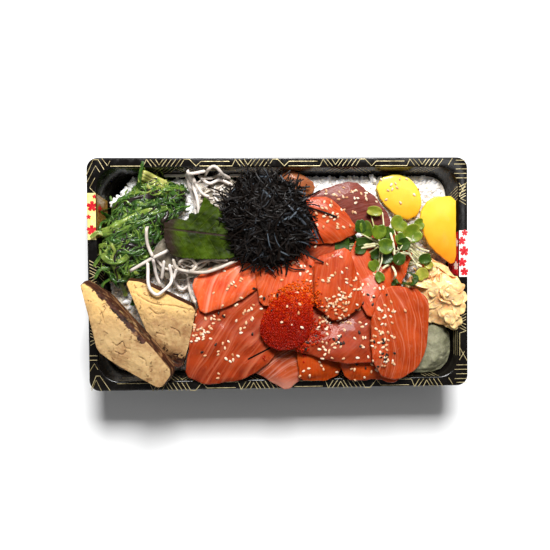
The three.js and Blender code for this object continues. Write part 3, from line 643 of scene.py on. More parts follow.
@dataclass
class Strands:
    """Strips or threads that run along paths, such as shreds, stems and thin lines.

    Lengths are millimetres. Each path has its own girth, facing and tint along its points, and is
    held inside the tray's walls where in_tray is set.
    """

    name: str
    width: float
    thickness: float
    sides: int = 8
    smooth: bool = True
    in_tray: bool = True
    points: list[np.ndarray] = field(default_factory=list)
    edges: list[tuple[int, int]] = field(default_factory=list)
    girths: list[np.ndarray] = field(default_factory=list)
    facings: list[np.ndarray] = field(default_factory=list)
    tints: list[np.ndarray] = field(default_factory=list)
    count: int = 0

    def add(
        self,
        path: np.ndarray,
        girth: float | np.ndarray = 1.0,
        facing: tuple[float, float, float] | np.ndarray = (0, 0, 1),
        tint: float = 0.5,
        closed_ends: bool = True,
    ) -> None:
        """Adds one strand.

        Args:
            path: One row for each point.
            girth: How thick it is there, as a share of the section.
            facing: Which way its flat side faces.
            tint: Its number in the colour scale.
            closed_ends: Whether its ends are rounded off.
        """
        path = np.asarray(path, dtype=float)
        size = len(path)
        girth = np.broadcast_to(np.asarray(girth, dtype=float), (size,)).copy()
        facing = np.broadcast_to(np.asarray(facing, dtype=float), (size, 3))
        if closed_ends:
            tip = 0.3 * min(self.width, self.thickness)
            for end, near in ((0, 1), (-1, -2)):
                way = path[near] - path[end]
                nib = path[end] + way / max(np.linalg.norm(way), 1e-6) * tip
                at = 1 if end == 0 else len(path) - 1
                path = np.insert(path, at, nib, axis=0)
                girth = np.insert(girth, at, girth[end] * 0.85)
                facing = np.insert(facing, at, facing[end], axis=0)
            girth[[0, -1]] *= 0.35
            size = len(path)
        self.points.append(path)
        self.edges += [(self.count + i, self.count + i + 1) for i in range(size - 1)]
        self.girths.append(girth)
        self.facings.append(facing)
        self.tints.append(np.full(size, tint))
        self.count += size

    def build(self, material: Material) -> Object:
        """Makes one object of all the strands, with a finish."""
        mesh = bpy.data.meshes.new(self.name)
        places = np.concatenate(self.points)
        if self.in_tray:
            places = CAVITY.hold(places, 0.5 * max(self.width, self.thickness) + 0.1)
        mesh.from_pydata((places * MM).tolist(), self.edges, [])
        for key, values in (("girth", self.girths), ("tint", self.tints)):
            mesh.attributes.new(key, "FLOAT", "POINT").data.foreach_set("value", np.concatenate(values))
        facing = mesh.attributes.new("facing", "FLOAT_VECTOR", "POINT")
        facing.data.foreach_set("vector", np.concatenate(self.facings).ravel())
        obj = bpy.data.objects.new(self.name, mesh)
        bpy.context.collection.objects.link(obj)
        return sweep_tree().run(obj, {
            "Width": self.width * MM, "Thickness": self.thickness * MM, "Sides": self.sides,
            "Smooth": self.smooth, "Material": material,
        })


@dataclass
class Grains:
    """Many small things of one kind, such as rice, seeds or eggs, in millimetres."""

    name: str
    size: tuple[float, float, float]
    seed: int
    variation: float = 0.14
    taper: float = 0.0
    detail: int = 2
    places: list[Place] = field(default_factory=list)
    spins: list[Place] = field(default_factory=list)
    tints: list[float] = field(default_factory=list)

    def add(self, place: Place, spin: Place, tint: float) -> None:
        """Adds one by its middle, its turns about X, Y and Z in radians and its place in the colour scale."""
        self.places.append(tuple(place))
        self.spins.append(tuple(spin))
        self.tints.append(tint)

    def build(self, material: Material) -> Object:
        """Makes one object of them all, with a finish."""
        obj = make_object(self.name, np.array(self.places), [], material, {
            "spin": np.array(self.spins), "tint": np.array(self.tints),
        })
        length, width, height = self.size
        return scatter_tree().run(obj, {
            "Length": length * MM, "Width": width * MM, "Height": height * MM, "Taper": self.taper,
            "Detail": self.detail, "Variation": self.variation, "Seed": self.seed, "Smooth": True,
            "Material": material,
        })


def curve_through(route: Route, step: float = 1.0) -> np.ndarray:
    """Runs a smooth curve through a few flat points.

    Args:
        route: The points.
        step: How far apart the curve's own points are.

    Returns:
        One row of x and y for each of the curve's points.
    """
    knots = np.array(route, dtype=float)
    padded = np.vstack([2 * knots[0] - knots[1], knots, 2 * knots[-1] - knots[-2]])
    pieces = []
    for i in range(len(knots) - 1):
        a, b, c, d = padded[i : i + 4]
        count = max(2, round(float(np.linalg.norm(c - b)) / step))
        t = np.linspace(0, 1, count, endpoint=False)[:, None]
        bend = 2 * b + (c - a) * t + (2 * a - 5 * b + 4 * c - d) * t**2 + (3 * b - a - 3 * c + d) * t**3
        pieces.append(bend / 2)
    return np.vstack([*pieces, knots[-1:]])


def evened(values: np.ndarray, rounds: int) -> np.ndarray:
    """Evens a row of numbers out, without moving its ends."""
    values = np.array(values, dtype=float)
    for _ in range(rounds):
        values[1:-1] = (values[:-2] + 2 * values[1:-1] + values[2:]) / 4
    return values


class Petals:
    """Thin wavy blades, such as seed leaves and shavings, gathered into one mesh."""

    rings = 5
    spokes = 22

    def __init__(self) -> None:
        """Starts with none."""
        self.points: list[np.ndarray] = []
        self.faces: list[list[int]] = []
        self.tints: list[np.ndarray] = []
        self.count = 0

    def add(
        self,
        place: Sequence[float],
        size: Place,
        turns: Place,
        tint: float,
        cup: float,
        notch: float,
        ruffle: float,
        ceiling: float,
    ) -> None:
        """Adds one blade.

        Args:
            place: Where its foot is.
            size: Its length, width and thickness.
            turns: Its heading, how far its tip is raised and its roll about its length, in radians.
            tint: Its number in the colour scale.
            cup: How far its edges bend up, as a share of its width.
            notch: How deep its tip is notched, as a share of its length.
            ruffle: How high its edge waves, in millimetres.
            ceiling: The height that it stays under.
        """
        length, width, thickness = size
        angles = np.linspace(0, TURN, self.spokes, endpoint=False)
        bearing = np.minimum(angles, TURN - angles)
        edge = 1 - 2 * notch * np.exp(-((bearing / 0.36) ** 2)) + 0.04 * np.sin(3 * angles + tint * 9)
        share = (np.arange(1, self.rings + 1) / self.rings)[:, None] ** 0.8
        u = length * 0.5 * (1 + share * edge * np.cos(angles))
        v = width * 0.5 * share * edge * np.sin(angles)
        z = cup * np.abs(v) * 2 * share - 0.1 * cup * u**2 / length
        z = z + ruffle * share**2 * np.sin(4 * angles + 7 * tint)
        rest = np.column_stack([u.ravel(), v.ravel(), z.ravel()])
        flat = np.vstack([[length / 2, 0, -0.1 * cup * length / 4], rest])
        heading, lift, roll = turns
        turn = Euler((roll, -lift, heading), "XYZ").to_matrix()
        over = flat + (0, 0, thickness / 2)
        below = flat - (0, 0, thickness / 2)
        below[-self.spokes :] = over[-self.spokes :] - (0, 0, 0.4 * thickness)
        whole = np.vstack([over, below]) @ np.array(turn).T + place
        whole[:, 2] -= max(0.0, whole[:, 2].max() - ceiling)
        n, base, half = self.spokes, self.count, len(flat)
        for i in range(n):
            j = (i + 1) % n
            hub = base + half
            self.faces += [[base, base + 1 + i, base + 1 + j], [hub, hub + 1 + j, hub + 1 + i]]
            for ring in range(self.rings - 1):
                a, b = base + 1 + ring * n, base + 1 + (ring + 1) * n
                self.faces += [[a + i, b + i, b + j, a + j]]
                self.faces += [[half + a + j, half + b + j, half + b + i, half + a + i]]
            rim = base + 1 + (self.rings - 1) * n
            self.faces.append([rim + i, half + rim + i, half + rim + j, rim + j])
        self.points.append(whole)
        self.tints.append(np.tile(np.append(tint, tint + 0.12 * np.repeat(share.ravel(), n)), 2))
        self.count += len(whole)

    def build(self, name: str, material: Material) -> Object:
        """Makes one object of all the blades."""
        places = CAVITY.hold(np.vstack(self.points), 0.2)
        return make_object(name, places, self.faces, material, {"tint": np.concatenate(self.tints)})


# ---------------------------------------------------------------- slices and lumps


@dataclass
class Slab:
    """A slice or lump with one outline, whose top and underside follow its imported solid.

    Lengths are millimetres. Rings crowd together towards the outline, where it rounds over. The
    underside has fewer, each at a share lower of the way to it.
    """

    node: str
    spokes: int = 184
    rings: int = 34
    rounding: float = 1.5
    clearing: int = 4
    evening: int = 3
    follow_sides: bool = False
    lower: tuple[float, ...] = (0.985, 0.94, 0.86, 0.72, 0.5, 0.25)

    def __post_init__(self) -> None:
        """Reads the outline and the heights of the solid."""
        self.form = Form.of(self.node)
        top, under = self.form.maps()
        rows, columns = np.nonzero(top.inside)
        self.centre = (float(top.x0 + top.pitch * columns.mean()), float(top.y0 + top.pitch * rows.mean()))
        self.top = (top.cleared(self.clearing) if self.clearing else top).smoothed(self.evening)
        self.under = under.smoothed(2)
        self.angles = np.linspace(0, TURN, self.spokes, endpoint=False)
        self.reaches = np.array([self.form.reach(self.centre, angle) for angle in self.angles])

    def drawn_in(self, span: int) -> None:
        """Draws the outline in to the least reach within span spokes each way, which drops thin tails."""
        shifted = [np.roll(self.reaches, k) for k in range(-span, span + 1)]
        least = np.min(shifted, axis=0)
        self.reaches = np.mean([np.roll(least, k) for k in range(-span, span + 1)], axis=0)

    def outlined(self, corners: Route, wobble: float = 0.0) -> None:
        """Gives the slab an outline of its own.

        Args:
            corners: Points that the outline runs smoothly through, against the clock.
            wobble: How uneven it is, in millimetres.
        """
        ring = curve_through([*corners, corners[0]], 0.6) - self.centre
        bearings = np.unwrap(np.arctan2(ring[:, 1], ring[:, 0]))
        order = np.argsort(bearings % (2 * math.pi))
        around = (bearings % (2 * math.pi))[order]
        lengths = np.hypot(ring[:, 0], ring[:, 1])[order]
        self.reaches = np.interp(self.angles, around, lengths, period=2 * math.pi)
        self.roughened(wobble, 3.0)

    def roughened(self, depth: float, size: float) -> None:
        """Makes the outline uneven, by a depth and over a size in millimetres."""
        x, y = self.spots(1.0)
        self.reaches = self.reaches - depth * (0.5 + 0.5 * waves(x, y, size, 9))

    def spots(self, share: float) -> tuple[np.ndarray, np.ndarray]:
        """Gives the points of a ring at a share of the way to the outline."""
        x = self.centre[0] + share * self.reaches * np.cos(self.angles)
        y = self.centre[1] + share * self.reaches * np.sin(self.angles)
        return x, y

    def side_heights(self, share: float) -> np.ndarray:
        """Reads a ring's heights from the solid itself, side faces included."""
        x, y = self.spots(min(share, 0.999))
        return np.array([self.form.top(a, b) or self.top.read(a, b) for a, b in zip(x, y)], dtype=float)

    def rounded(self, inset: np.ndarray) -> np.ndarray:
        """Gives how far a point in from the outline has risen over the rounded edge, from 0 to 1."""
        return np.sqrt(np.clip(1 - (1 - np.clip(inset / self.rounding, 0, 1)) ** 2, 0, 1))

    def surface(self, relief: Relief) -> tuple[np.ndarray, list[list[int]], np.ndarray]:
        """Works out the mesh.

        Args:
            relief: Gives how far the top stands out at x, y and a distance in from the outline.

        Returns:
            The points, the faces and each point's distance in from the outline.
        """
        shares = 1 - (1 - np.arange(1, self.rings + 1) / self.rings) ** 1.5
        edge_x, edge_y = self.spots(1.0)
        edge_top, edge_under = self.top.read(edge_x, edge_y), self.under.read(edge_x, edge_y)
        waist = (edge_top + edge_under) / 2
        points = [np.array([[*self.centre, 0.0]])]
        insets = [np.array([float(self.reaches.mean())])]
        for share in shares:
            x, y = self.spots(share)
            inset = (1 - share) * self.reaches
            plateau = self.side_heights(share) if self.follow_sides else self.top.read(x, y)
            full = plateau + relief(x, y, inset)
            z = full if self.follow_sides else waist + (full - waist) * self.rounded(inset)
            points.append(np.column_stack([x, y, z]))
            insets.append(inset)
        points[0][0, 2] = points[1][:, 2].mean()
        for share in self.lower:
            x, y = self.spots(share)
            inset = (1 - share) * self.reaches
            base = np.minimum(self.under.read(x, y), waist)
            points.append(np.column_stack([x, y, waist + (base - waist) * self.rounded(inset)]))
            insets.append(inset)
        points.append(np.array([[*self.centre, float(self.under.read(*self.centre))]]))
        insets.append(np.array([float(self.reaches.mean())]))
        return np.vstack(points), self._faces(self.rings + len(self.lower)), np.concatenate(insets)

    def _faces(self, rings: int) -> list[list[int]]:
        """Joins the middle, the rings and the underside's middle into one closed body."""
        n = self.spokes
        faces = [[0, 1 + i, 1 + (i + 1) % n] for i in range(n)]
        for ring in range(rings - 1):
            inner, outer = 1 + ring * n, 1 + (ring + 1) * n
            faces += [[inner + i, outer + i, outer + (i + 1) % n, inner + (i + 1) % n] for i in range(n)]
        last, foot = 1 + (rings - 1) * n, 1 + rings * n
        return faces + [[last + i, foot, last + (i + 1) % n] for i in range(n)]

    def build(
        self,
        name: str,
        material: Material,
        relief: Relief,
        fields: Fields | None = None,
        crumb: tuple[float, float] | None = None,
    ) -> Object:
        """Makes the slice.

        Args:
            name: The object's name.
            material: Its finish.
            relief: How far its top stands out, as surface takes it.
            fields: Gives the attributes that its finish reads, from its points.
            crumb: The size and depth of a broken surface, if it has one.

        Returns:
            The finished object.
        """
        points, faces, insets = self.surface(relief)
        if crumb is not None:
            size, depth = crumb
            points[:, 2] += depth * crumbs(points, size) * np.clip(insets / 0.6, 0, 1)
        points = CAVITY.hold(points, 0.15)
        attributes = {"inset": insets, **(fields(points) if fields else {})}
        return make_object(name, points, faces, material, attributes)


# ---------------------------------------------------------------- tray


@dataclass(frozen=True)
class GlossyPlastic:
    """Thin black pressed plastic, glossy, with the faint unevenness of the pressing and clouds of painted sheen."""

    colour: int = 0x080707
    sheen: int = 0x130F0B
    roughness: float = 0.2

    def material(self) -> Material:
        """Builds the finish."""
        s = Shader("black_plastic")
        spot = s.spot()
        # The lighter sheen colour, laid on in large clouds, is a painted sheen on the black.
        cloud = s.noise(spot, 26.0, 3.0)
        smudge = s.noise(spot, 4.0, 3.0, 0.6)
        rough = s.window(smudge, 0.3, 0.75, self.roughness - 0.06, self.roughness + 0.14)
        dent = s.bump(s.noise(spot, 9.0, 1.0), 0.12)
        grain = s.bump(s.noise(spot, 0.5, 2.0), 0.006, dent)
        return s.dress({
            "Base Color": s.ramp(cloud, [(0.3, self.colour), (0.75, self.sheen)]),
            "Roughness": rough, "Normal": grain, "IOR": 1.55, "Specular IOR Level": 0.25,
            "Coat Weight": 0.18, "Coat Roughness": 0.12,
        })


@dataclass(frozen=True)
class GoldInk:
    """Thin printed lines of matt gold, a little worn."""

    bright: int = 0xC9B98A
    worn: int = 0x7A6A3C

    def material(self) -> Material:
        """Builds the finish."""
        s = Shader("gold_ink")
        wear = s.noise(s.spot(), 3.0, 4.0)
        colour = s.ramp(wear, [(0.32, self.worn), (0.55, self.bright)])
        rough = s.window(wear, 0.3, 0.7, 0.5, 0.32)
        grit = s.bump(s.noise(s.spot(), 0.3, 2.0), 0.01)
        return s.dress({"Base Color": colour, "Metallic": 0.35, "Roughness": rough, "Normal": grit})


@dataclass(frozen=True)
class PanelInk:
    """A field of flat printed colour under a gloss."""

    name: str
    colour: int
    deep: int

    def material(self) -> Material:
        """Builds the finish."""
        s = Shader(self.name)
        cloud = s.noise(s.spot(), 2.2, 3.0)
        fibre = s.noise(s.stretch(s.spot(), (1, 4, 1)), 0.7, 2.0)
        tone = s.mixed(cloud, 0.7, fibre, 0.3)
        return s.dress({
            "Base Color": s.ramp(tone, [(0.3, self.deep), (0.6, self.colour)]),
            "Roughness": s.window(cloud, 0.3, 0.7, 0.2, 0.36),
            "Normal": s.bump(fibre, 0.01), "Coat Weight": 0.4, "Coat Roughness": 0.1,
        })


class Side(Enum):
    """One of the tray's four sides, by the way it faces from the middle."""

    BACK = (0.0, 1.0)
    FRONT = (0.0, -1.0)
    LEFT = (-1.0, 0.0)
    RIGHT = (1.0, 0.0)


@dataclass
class TakeawayTray:
    """The rectangular tray: a thin wall that leans out, a flat rim and a short outer lip."""

    rim: float = CAVITY.rim
    wall: float = 0.9
    lip_drop: float = 5.0
    lip_flare: float = 0.6
    draft: float = CAVITY.draft
    rim_corner: float = 6.5
    wall_corner: float = CAVITY.corner
    fillet: float = 1.4
    corner_steps: int = 14
    line_width: float = 0.34
    line_height: float = 0.06

    def __post_init__(self) -> None:
        """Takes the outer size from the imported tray."""
        low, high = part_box("tray")
        self.half = [(high[i] - low[i]) / 2 / MM for i in (0, 1)]
        self.height = (high[2] - low[2]) / MM

    # ---- shell

    def ring(self, inset: float, corner: float, z: float) -> np.ndarray:
        """Gives a rounded rectangle.

        Args:
            inset: How far it lies in from the tray's outer edge.
            corner: The radius of its corners.
            z: Its height.

        Returns:
            One row for each point, against the clock from above.
        """
        points = []
        half_x, half_y = self.half[0] - inset, self.half[1] - inset
        for quarter in range(4):
            sign_x = 1 if quarter in (0, 3) else -1
            sign_y = 1 if quarter < 2 else -1
            for i in range(self.corner_steps + 1):
                angle = (quarter + i / self.corner_steps) * math.pi / 2
                x = sign_x * (half_x - corner) + corner * math.cos(angle)
                y = sign_y * (half_y - corner) + corner * math.sin(angle)
                points.append((x, y, z))
        return np.array(points)

    def cavity(self, z: float, margin: float = 0.0) -> np.ndarray:
        """Gives the cavity's outline at a height, drawn in by a margin."""
        inset = self.rim + (self.height - z) * math.tan(self.draft) + margin
        return self.ring(inset, self.wall_corner - margin, z)

    def profile(self) -> list[np.ndarray]:
        """Gives the rings of the shell, from under the floor over the rim to inside the floor."""
        top, wall, flare, fillet = self.height, self.wall, self.lip_flare, self.fillet
        rings = [self.cavity(0, fillet - wall), self.cavity(0.35 * fillet, 0.3 * fillet - wall)]
        rings += [self.cavity(fillet, -wall), self.cavity(top - wall - 1, -wall)]
        rings.append(self.cavity(top - wall, -wall - 0.4))
        rings.append(self.ring(flare + wall + 0.5, self.rim_corner - 0.7, top - wall))
        rings += [self.ring(flare + wall, self.rim_corner - 0.6, top - wall - 0.5)]
        rings += [self.ring(wall, self.rim_corner - 0.4, top - self.lip_drop + 0.2)]
        rings += [self.ring(0.6 * wall, self.rim_corner - 0.2, top - self.lip_drop)]
        rings.append(self.ring(0.1, self.rim_corner, top - self.lip_drop + 0.15))
        rings.append(self.ring(0, self.rim_corner, top - self.lip_drop + 0.4))
        for step in range(6):
            angle = step / 5 * math.pi / 2
            inset = flare + 0.8 * (1 - math.cos(angle))
            rings.append(self.ring(inset, self.rim_corner - 0.5 * inset, top - 0.8 + 0.8 * math.sin(angle)))
        for step in range(5):
            angle = step / 4 * (math.pi / 2 - self.draft)
            rings.append(self.cavity(top - 0.8 * (1 - math.cos(angle)), -0.8 * (1 - math.sin(angle))))
        for step in range(5):
            angle = step / 4 * math.pi / 2
            rings.append(self.cavity(wall + fillet * (1 - math.sin(angle)), fillet * (1 - math.cos(angle))))
        return rings

    def shell(self) -> Object:
        """Makes the tray's one pressed sheet."""
        rings = self.profile()
        n = len(rings[0])
        points = np.vstack([*rings, [[0, 0, 0]], [[0, 0, self.wall]]])
        faces = []
        for k in range(len(rings) - 1):
            a, b = k * n, (k + 1) * n
            faces += [[a + i, a + (i + 1) % n, b + (i + 1) % n, b + i] for i in range(n)]
        last, foot = (len(rings) - 1) * n, len(rings) * n
        faces += [[(i + 1) % n, i, foot] for i in range(n)]
        faces += [[last + i, last + (i + 1) % n, foot + 1] for i in range(n)]
        return make_object("takeaway_tray", points, faces, GlossyPlastic().material())

    # ---- printed lines

    def on_side(self, side: Side, along: float, across: float) -> tuple[Vector, Vector]:
        """Finds a printed point on the rim or, past the rim's inner edge, down the inner wall.

        Args:
            side: Which side it is on.
            along: Its place along the side, to the right as the photograph shows it, or up.
            across: How far it is from the outer edge, over the surface.

        Returns:
            The place and the way the surface faces.
        """
        out_x, out_y = side.value
        half = self.half[0] if out_x else self.half[1]
        down = max(0.0, across - self.rim)
        inward = min(across, self.rim) + down * math.sin(self.draft)
        z = self.height - down * math.cos(self.draft)
        lift = self.line_height * 0.3
        facing = Vector((0, 0, 1))
        if down > 0:
            facing = Vector((-out_x * math.cos(self.draft), -out_y * math.cos(self.draft), math.sin(self.draft)))
        place = Vector((out_x * (half - inward), out_y * (half - inward), z))
        place[1 if out_x else 0] = along
        return place + facing * lift, facing

    def motif(self, near: float, far: float) -> list[list[tuple[float, float]]]:
        """Gives one repeat of the band pattern: twin rules, then slanting strokes and chevrons.

        Args:
            near: How far the outer rule is from the outer edge.
            far: How far the inner rule is from it.

        Returns:
            Lines of points, each a share of the repeat along and millimetres from the outer edge.
        """
        top, low = min(near, far) - 1.2, far + 0.1
        lines = [
            [(-0.195, low), (-0.145, top), (-0.088, top), (-0.013, low), (0.04, near), (0.366, near)],
            [(0.027, far), (0.395, far), (0.43, top), (0.486, low)],
            [(0.471, top), (0.538, low)],
            [(0.531, top), (0.571, far - 0.6), (0.617, top)],
        ]
        lines += [[(start + 0.057, top), (start, low)] for start in (0.601, 0.652, 0.703, 0.755)]
        lines += [[(0.03 - 0.01 * k, 7.6 + 1.9 * k), (0.42 + 0.01 * k, 7.6 + 1.9 * k)] for k in range(3)]
        lines += [[(0.57 + 0.05 * k, 6.8), (0.47 + 0.05 * k, 15.0)] for k in range(5)]
        lines += [[(0.74 + 0.05 * k, 6.8), (0.86 + 0.05 * k, 15.0)] for k in range(4)]
        return lines

    def corner_lines(self, out_x: int, out_y: int) -> list[list[tuple[float, float]]]:
        """Gives the lines at a corner of the rim, in from its side and from its front or back edge."""
        if out_x > 0:
            rungs = [[(0.9, v), (7.5 + (k % 2), v)] for k, v in enumerate((2.4, 4.6, 7.4, 10.0, 12.6))]
            return rungs + [[(1.0, 15.0), (5.6, 23.0)], [(5.6, 15.5), (2.6, 20.5)], [(9.5, 1.2), (12.0, 5.2)]]
        if out_y > 0:
            return [
                [(0.5, 10.7), (4.6, 1.7), (7.3, 1.7), (10.6, 7.3)], [(0.6, 14.9), (5.8, 5.1), (8.2, 8.8)],
                [(9.5, 1.0), (12.5, 5.1), (14.0, 2.4)], [(5.4, 11.9), (2.4, 17.5), (5.6, 20.9)],
            ]
        return [
            [(1.5, 1.9), (4.5, 9.4), (6.7, 9.4), (12.4, 0.8)], [(1.9, 1.1), (4.5, 7.1), (7.5, 0.8)],
            [(0.9, 12.0), (3.6, 16.5), (5.6, 13.0)], [(0.8, 18.5), (5.4, 18.5)], [(0.8, 21.0), (5.4, 21.0)],
        ]

    def print_lines(self) -> Object:
        """Makes the gold lines on the rim and down the inner wall."""
        ink = Strands("gold_lines", self.line_width, self.line_height, sides=4, smooth=False, in_tray=False)
        repeats = {Side.BACK: (-97.2, 50.4, 4), Side.FRONT: (-95.0, 50.4, 4)}
        repeats |= {Side.LEFT: (-57.0, 36.0, 3), Side.RIGHT: (-50.0, 36.0, 3)}
        for side, (start, pitch, count) in repeats.items():
            limit = (self.half[0] if side.value[1] else self.half[1]) - 14.0
            rules = (1.5, 4.8) if side is Side.FRONT else (2.8, 5.4)
            for k in range(count):
                for line in self.motif(*rules):
                    spots = [(start + (k + u) * pitch, v) for u, v in line]
                    if all(abs(u) < limit for u, _ in spots) and not self.under_panel(side, spots):
                        self.draw(ink, side, spots)
        z = self.height + self.line_height * 0.3
        for out_x in (-1, 1):
            for out_y in (-1, 1):
                for line in self.corner_lines(out_x, out_y):
                    points = [(out_x * (self.half[0] - u), out_y * (self.half[1] - v), z) for u, v in line]
                    ink.add(np.array(points), closed_ends=False)
        return ink.build(GoldInk().material())

    def under_panel(self, side: Side, spots: Route) -> bool:
        """Tells whether a line would cross one of the blossom panels."""
        spans = {Side.LEFT: (18.5, 47.5), Side.RIGHT: (-4.0, 25.0)}
        low, high = spans.get(side, (1.0, 0.0))
        return any(low < u < high for u, _ in spots)

    def draw(self, ink: Strands, side: Side, spots: Route) -> None:
        """Lays one line of the pattern on a side, broken where it meets the inner wall."""
        for (u0, v0), (u1, v1) in zip(spots, spots[1:]):
            cuts = [0.0, 1.0]
            if (v0 - self.rim) * (v1 - self.rim) < 0:
                cuts.insert(1, (self.rim - v0) / (v1 - v0))
            for start, end in zip(cuts, cuts[1:]):
                middle = v0 + (v1 - v0) * (start + end) / 2
                _, facing = self.on_side(side, 0, middle)
                ends = [self.on_side(side, u0 + (u1 - u0) * t, v0 + (v1 - v0) * t)[0] for t in (start, end)]
                ink.add(np.array([list(end) for end in ends]), facing=tuple(facing), closed_ends=False)

    # ---- blossom panels

    def patch(self, name: str, side: Side, outline: Route, lift: float, material: Material) -> Object:
        """Makes a thin printed patch on a side.

        Args:
            name: Its name.
            side: Which side it is on.
            outline: Its corners, along and across.
            lift: How far it stands above the plastic.
            material: Its ink.

        Returns:
            A thin closed plate.
        """
        flat = [self.on_side(side, u, v) for u, v in outline]
        if sum((b[0] - a[0]) * (b[1] + a[1]) for a, b in zip(outline, [*outline[1:], outline[0]])) > 0:
            flat.reverse()
        turned = side in (Side.BACK, Side.RIGHT)
        flat = flat[::-1] if turned else flat
        upper = [place + facing * lift for place, facing in flat]
        lower = [place - facing * 0.03 for place, facing in flat]
        n = len(flat)
        faces = [list(range(n)), list(range(2 * n - 1, n - 1, -1))]
        faces += [[(i + 1) % n, i, n + i, n + (i + 1) % n] for i in range(n)]
        return make_object(name, np.array([list(p) for p in upper + lower]), faces, material, smooth=False)

    def blossom(self, centre: tuple[float, float], radius: float) -> list[tuple[float, float]]:
        """Gives the outline of a five-petalled blossom with notched petals, cut off at the rim's edges."""
        near, far = (0.4, self.rim - 0.35) if centre[1] < self.rim else (6.4, 21.0)
        points = []
        for i in range(50):
            angle = i / 50 * TURN
            petal = abs(math.cos(2.5 * angle))
            notch = 0.16 * max(0.0, 1 - abs(((angle * 5 / (2 * math.pi)) % 1) - 0.0) * 14)
            size = radius * (0.45 + 0.55 * petal**0.6 - notch)
            across = centre[1] + size * math.sin(angle)
            points.append((centre[0] + size * math.cos(angle), min(max(across, near), far)))
        return points

    def panels(self) -> list[Object]:
        """Makes the two printed panels, each a field of colour with blossoms on the rim and wall."""
        cream = PanelInk("cream_ink", 0xF6E79A, 0xE9CF6A).material()
        # The cream panel runs on down the inner wall in a darker brown copy of its ink, as painted shade on the wall.
        ochre = PanelInk("ochre_ink", 0x9A7433, 0x6B4A1E).material()
        white = PanelInk("white_ink", 0xFAF3EE, 0xF0DCD6).material()
        red = PanelInk("red_ink", 0xD2202B, 0xA9121E).material()
        rim_in = self.rim - 0.35
        left = [
            self.patch("panel", Side.LEFT, [(20, 0.9), (46.5, 0.9), (46.5, rim_in), (20, rim_in)], 0.06, cream),
            # The wall part of the cream panel, in the darker copy of the cream ink as painted shade.
            self.patch("panel", Side.LEFT, [(21, 6.4), (46, 6.4), (43, 21), (23, 21)], 0.06, ochre),
        ]
        right = [
            self.patch("panel", Side.RIGHT, [(-3, 0.9), (24, 0.9), (24, rim_in), (-3, rim_in)], 0.06, white),
            self.patch("panel", Side.RIGHT, [(-2.5, 6.4), (23.5, 6.4), (21, 18), (0, 18)], 0.06, red),
        ]
        for along, across, radius in ((39.0, 3.6, 3.2), (25.5, 3.2, 3.0), (33.0, 1.6, 1.4), (44.5, 5.0, 1.3)):
            left.append(self.patch("panel", Side.LEFT, self.blossom((along, across), radius), 0.1, red))
        for along in (27.0, 37.5):
            left.append(self.patch("panel", Side.LEFT, self.blossom((along, 10.5), 2.6), 0.1, red))
        edge = ((0.0, 2.6, 2.6), (5.5, 4.0, 2.9), (12.0, 2.7, 3.1), (18.0, 4.2, 2.6), (22.6, 2.4, 2.0))
        for along, across, radius in edge:
            right.append(self.patch("panel", Side.RIGHT, self.blossom((along, across), radius), 0.1, red))
        for along, across in ((3.5, 8.8), (10.5, 11.0), (17.0, 8.6)):
            right.append(self.patch("panel", Side.RIGHT, self.blossom((along, across), 2.6), 0.1, white))
        return [joined("left_blossom_panel", left), joined("right_blossom_panel", right)]

    def build(self) -> list[Object]:
        """Makes the tray with all its print."""
        shell = self.shell()
        hand_over(shell, "tray_plastic", "tray")
        printed = [self.print_lines(), *self.panels()]
        for obj in printed:
            hand_over(obj, "tray_plastic")
        return [shell, *printed]


# ---------------------------------------------------------------- fish


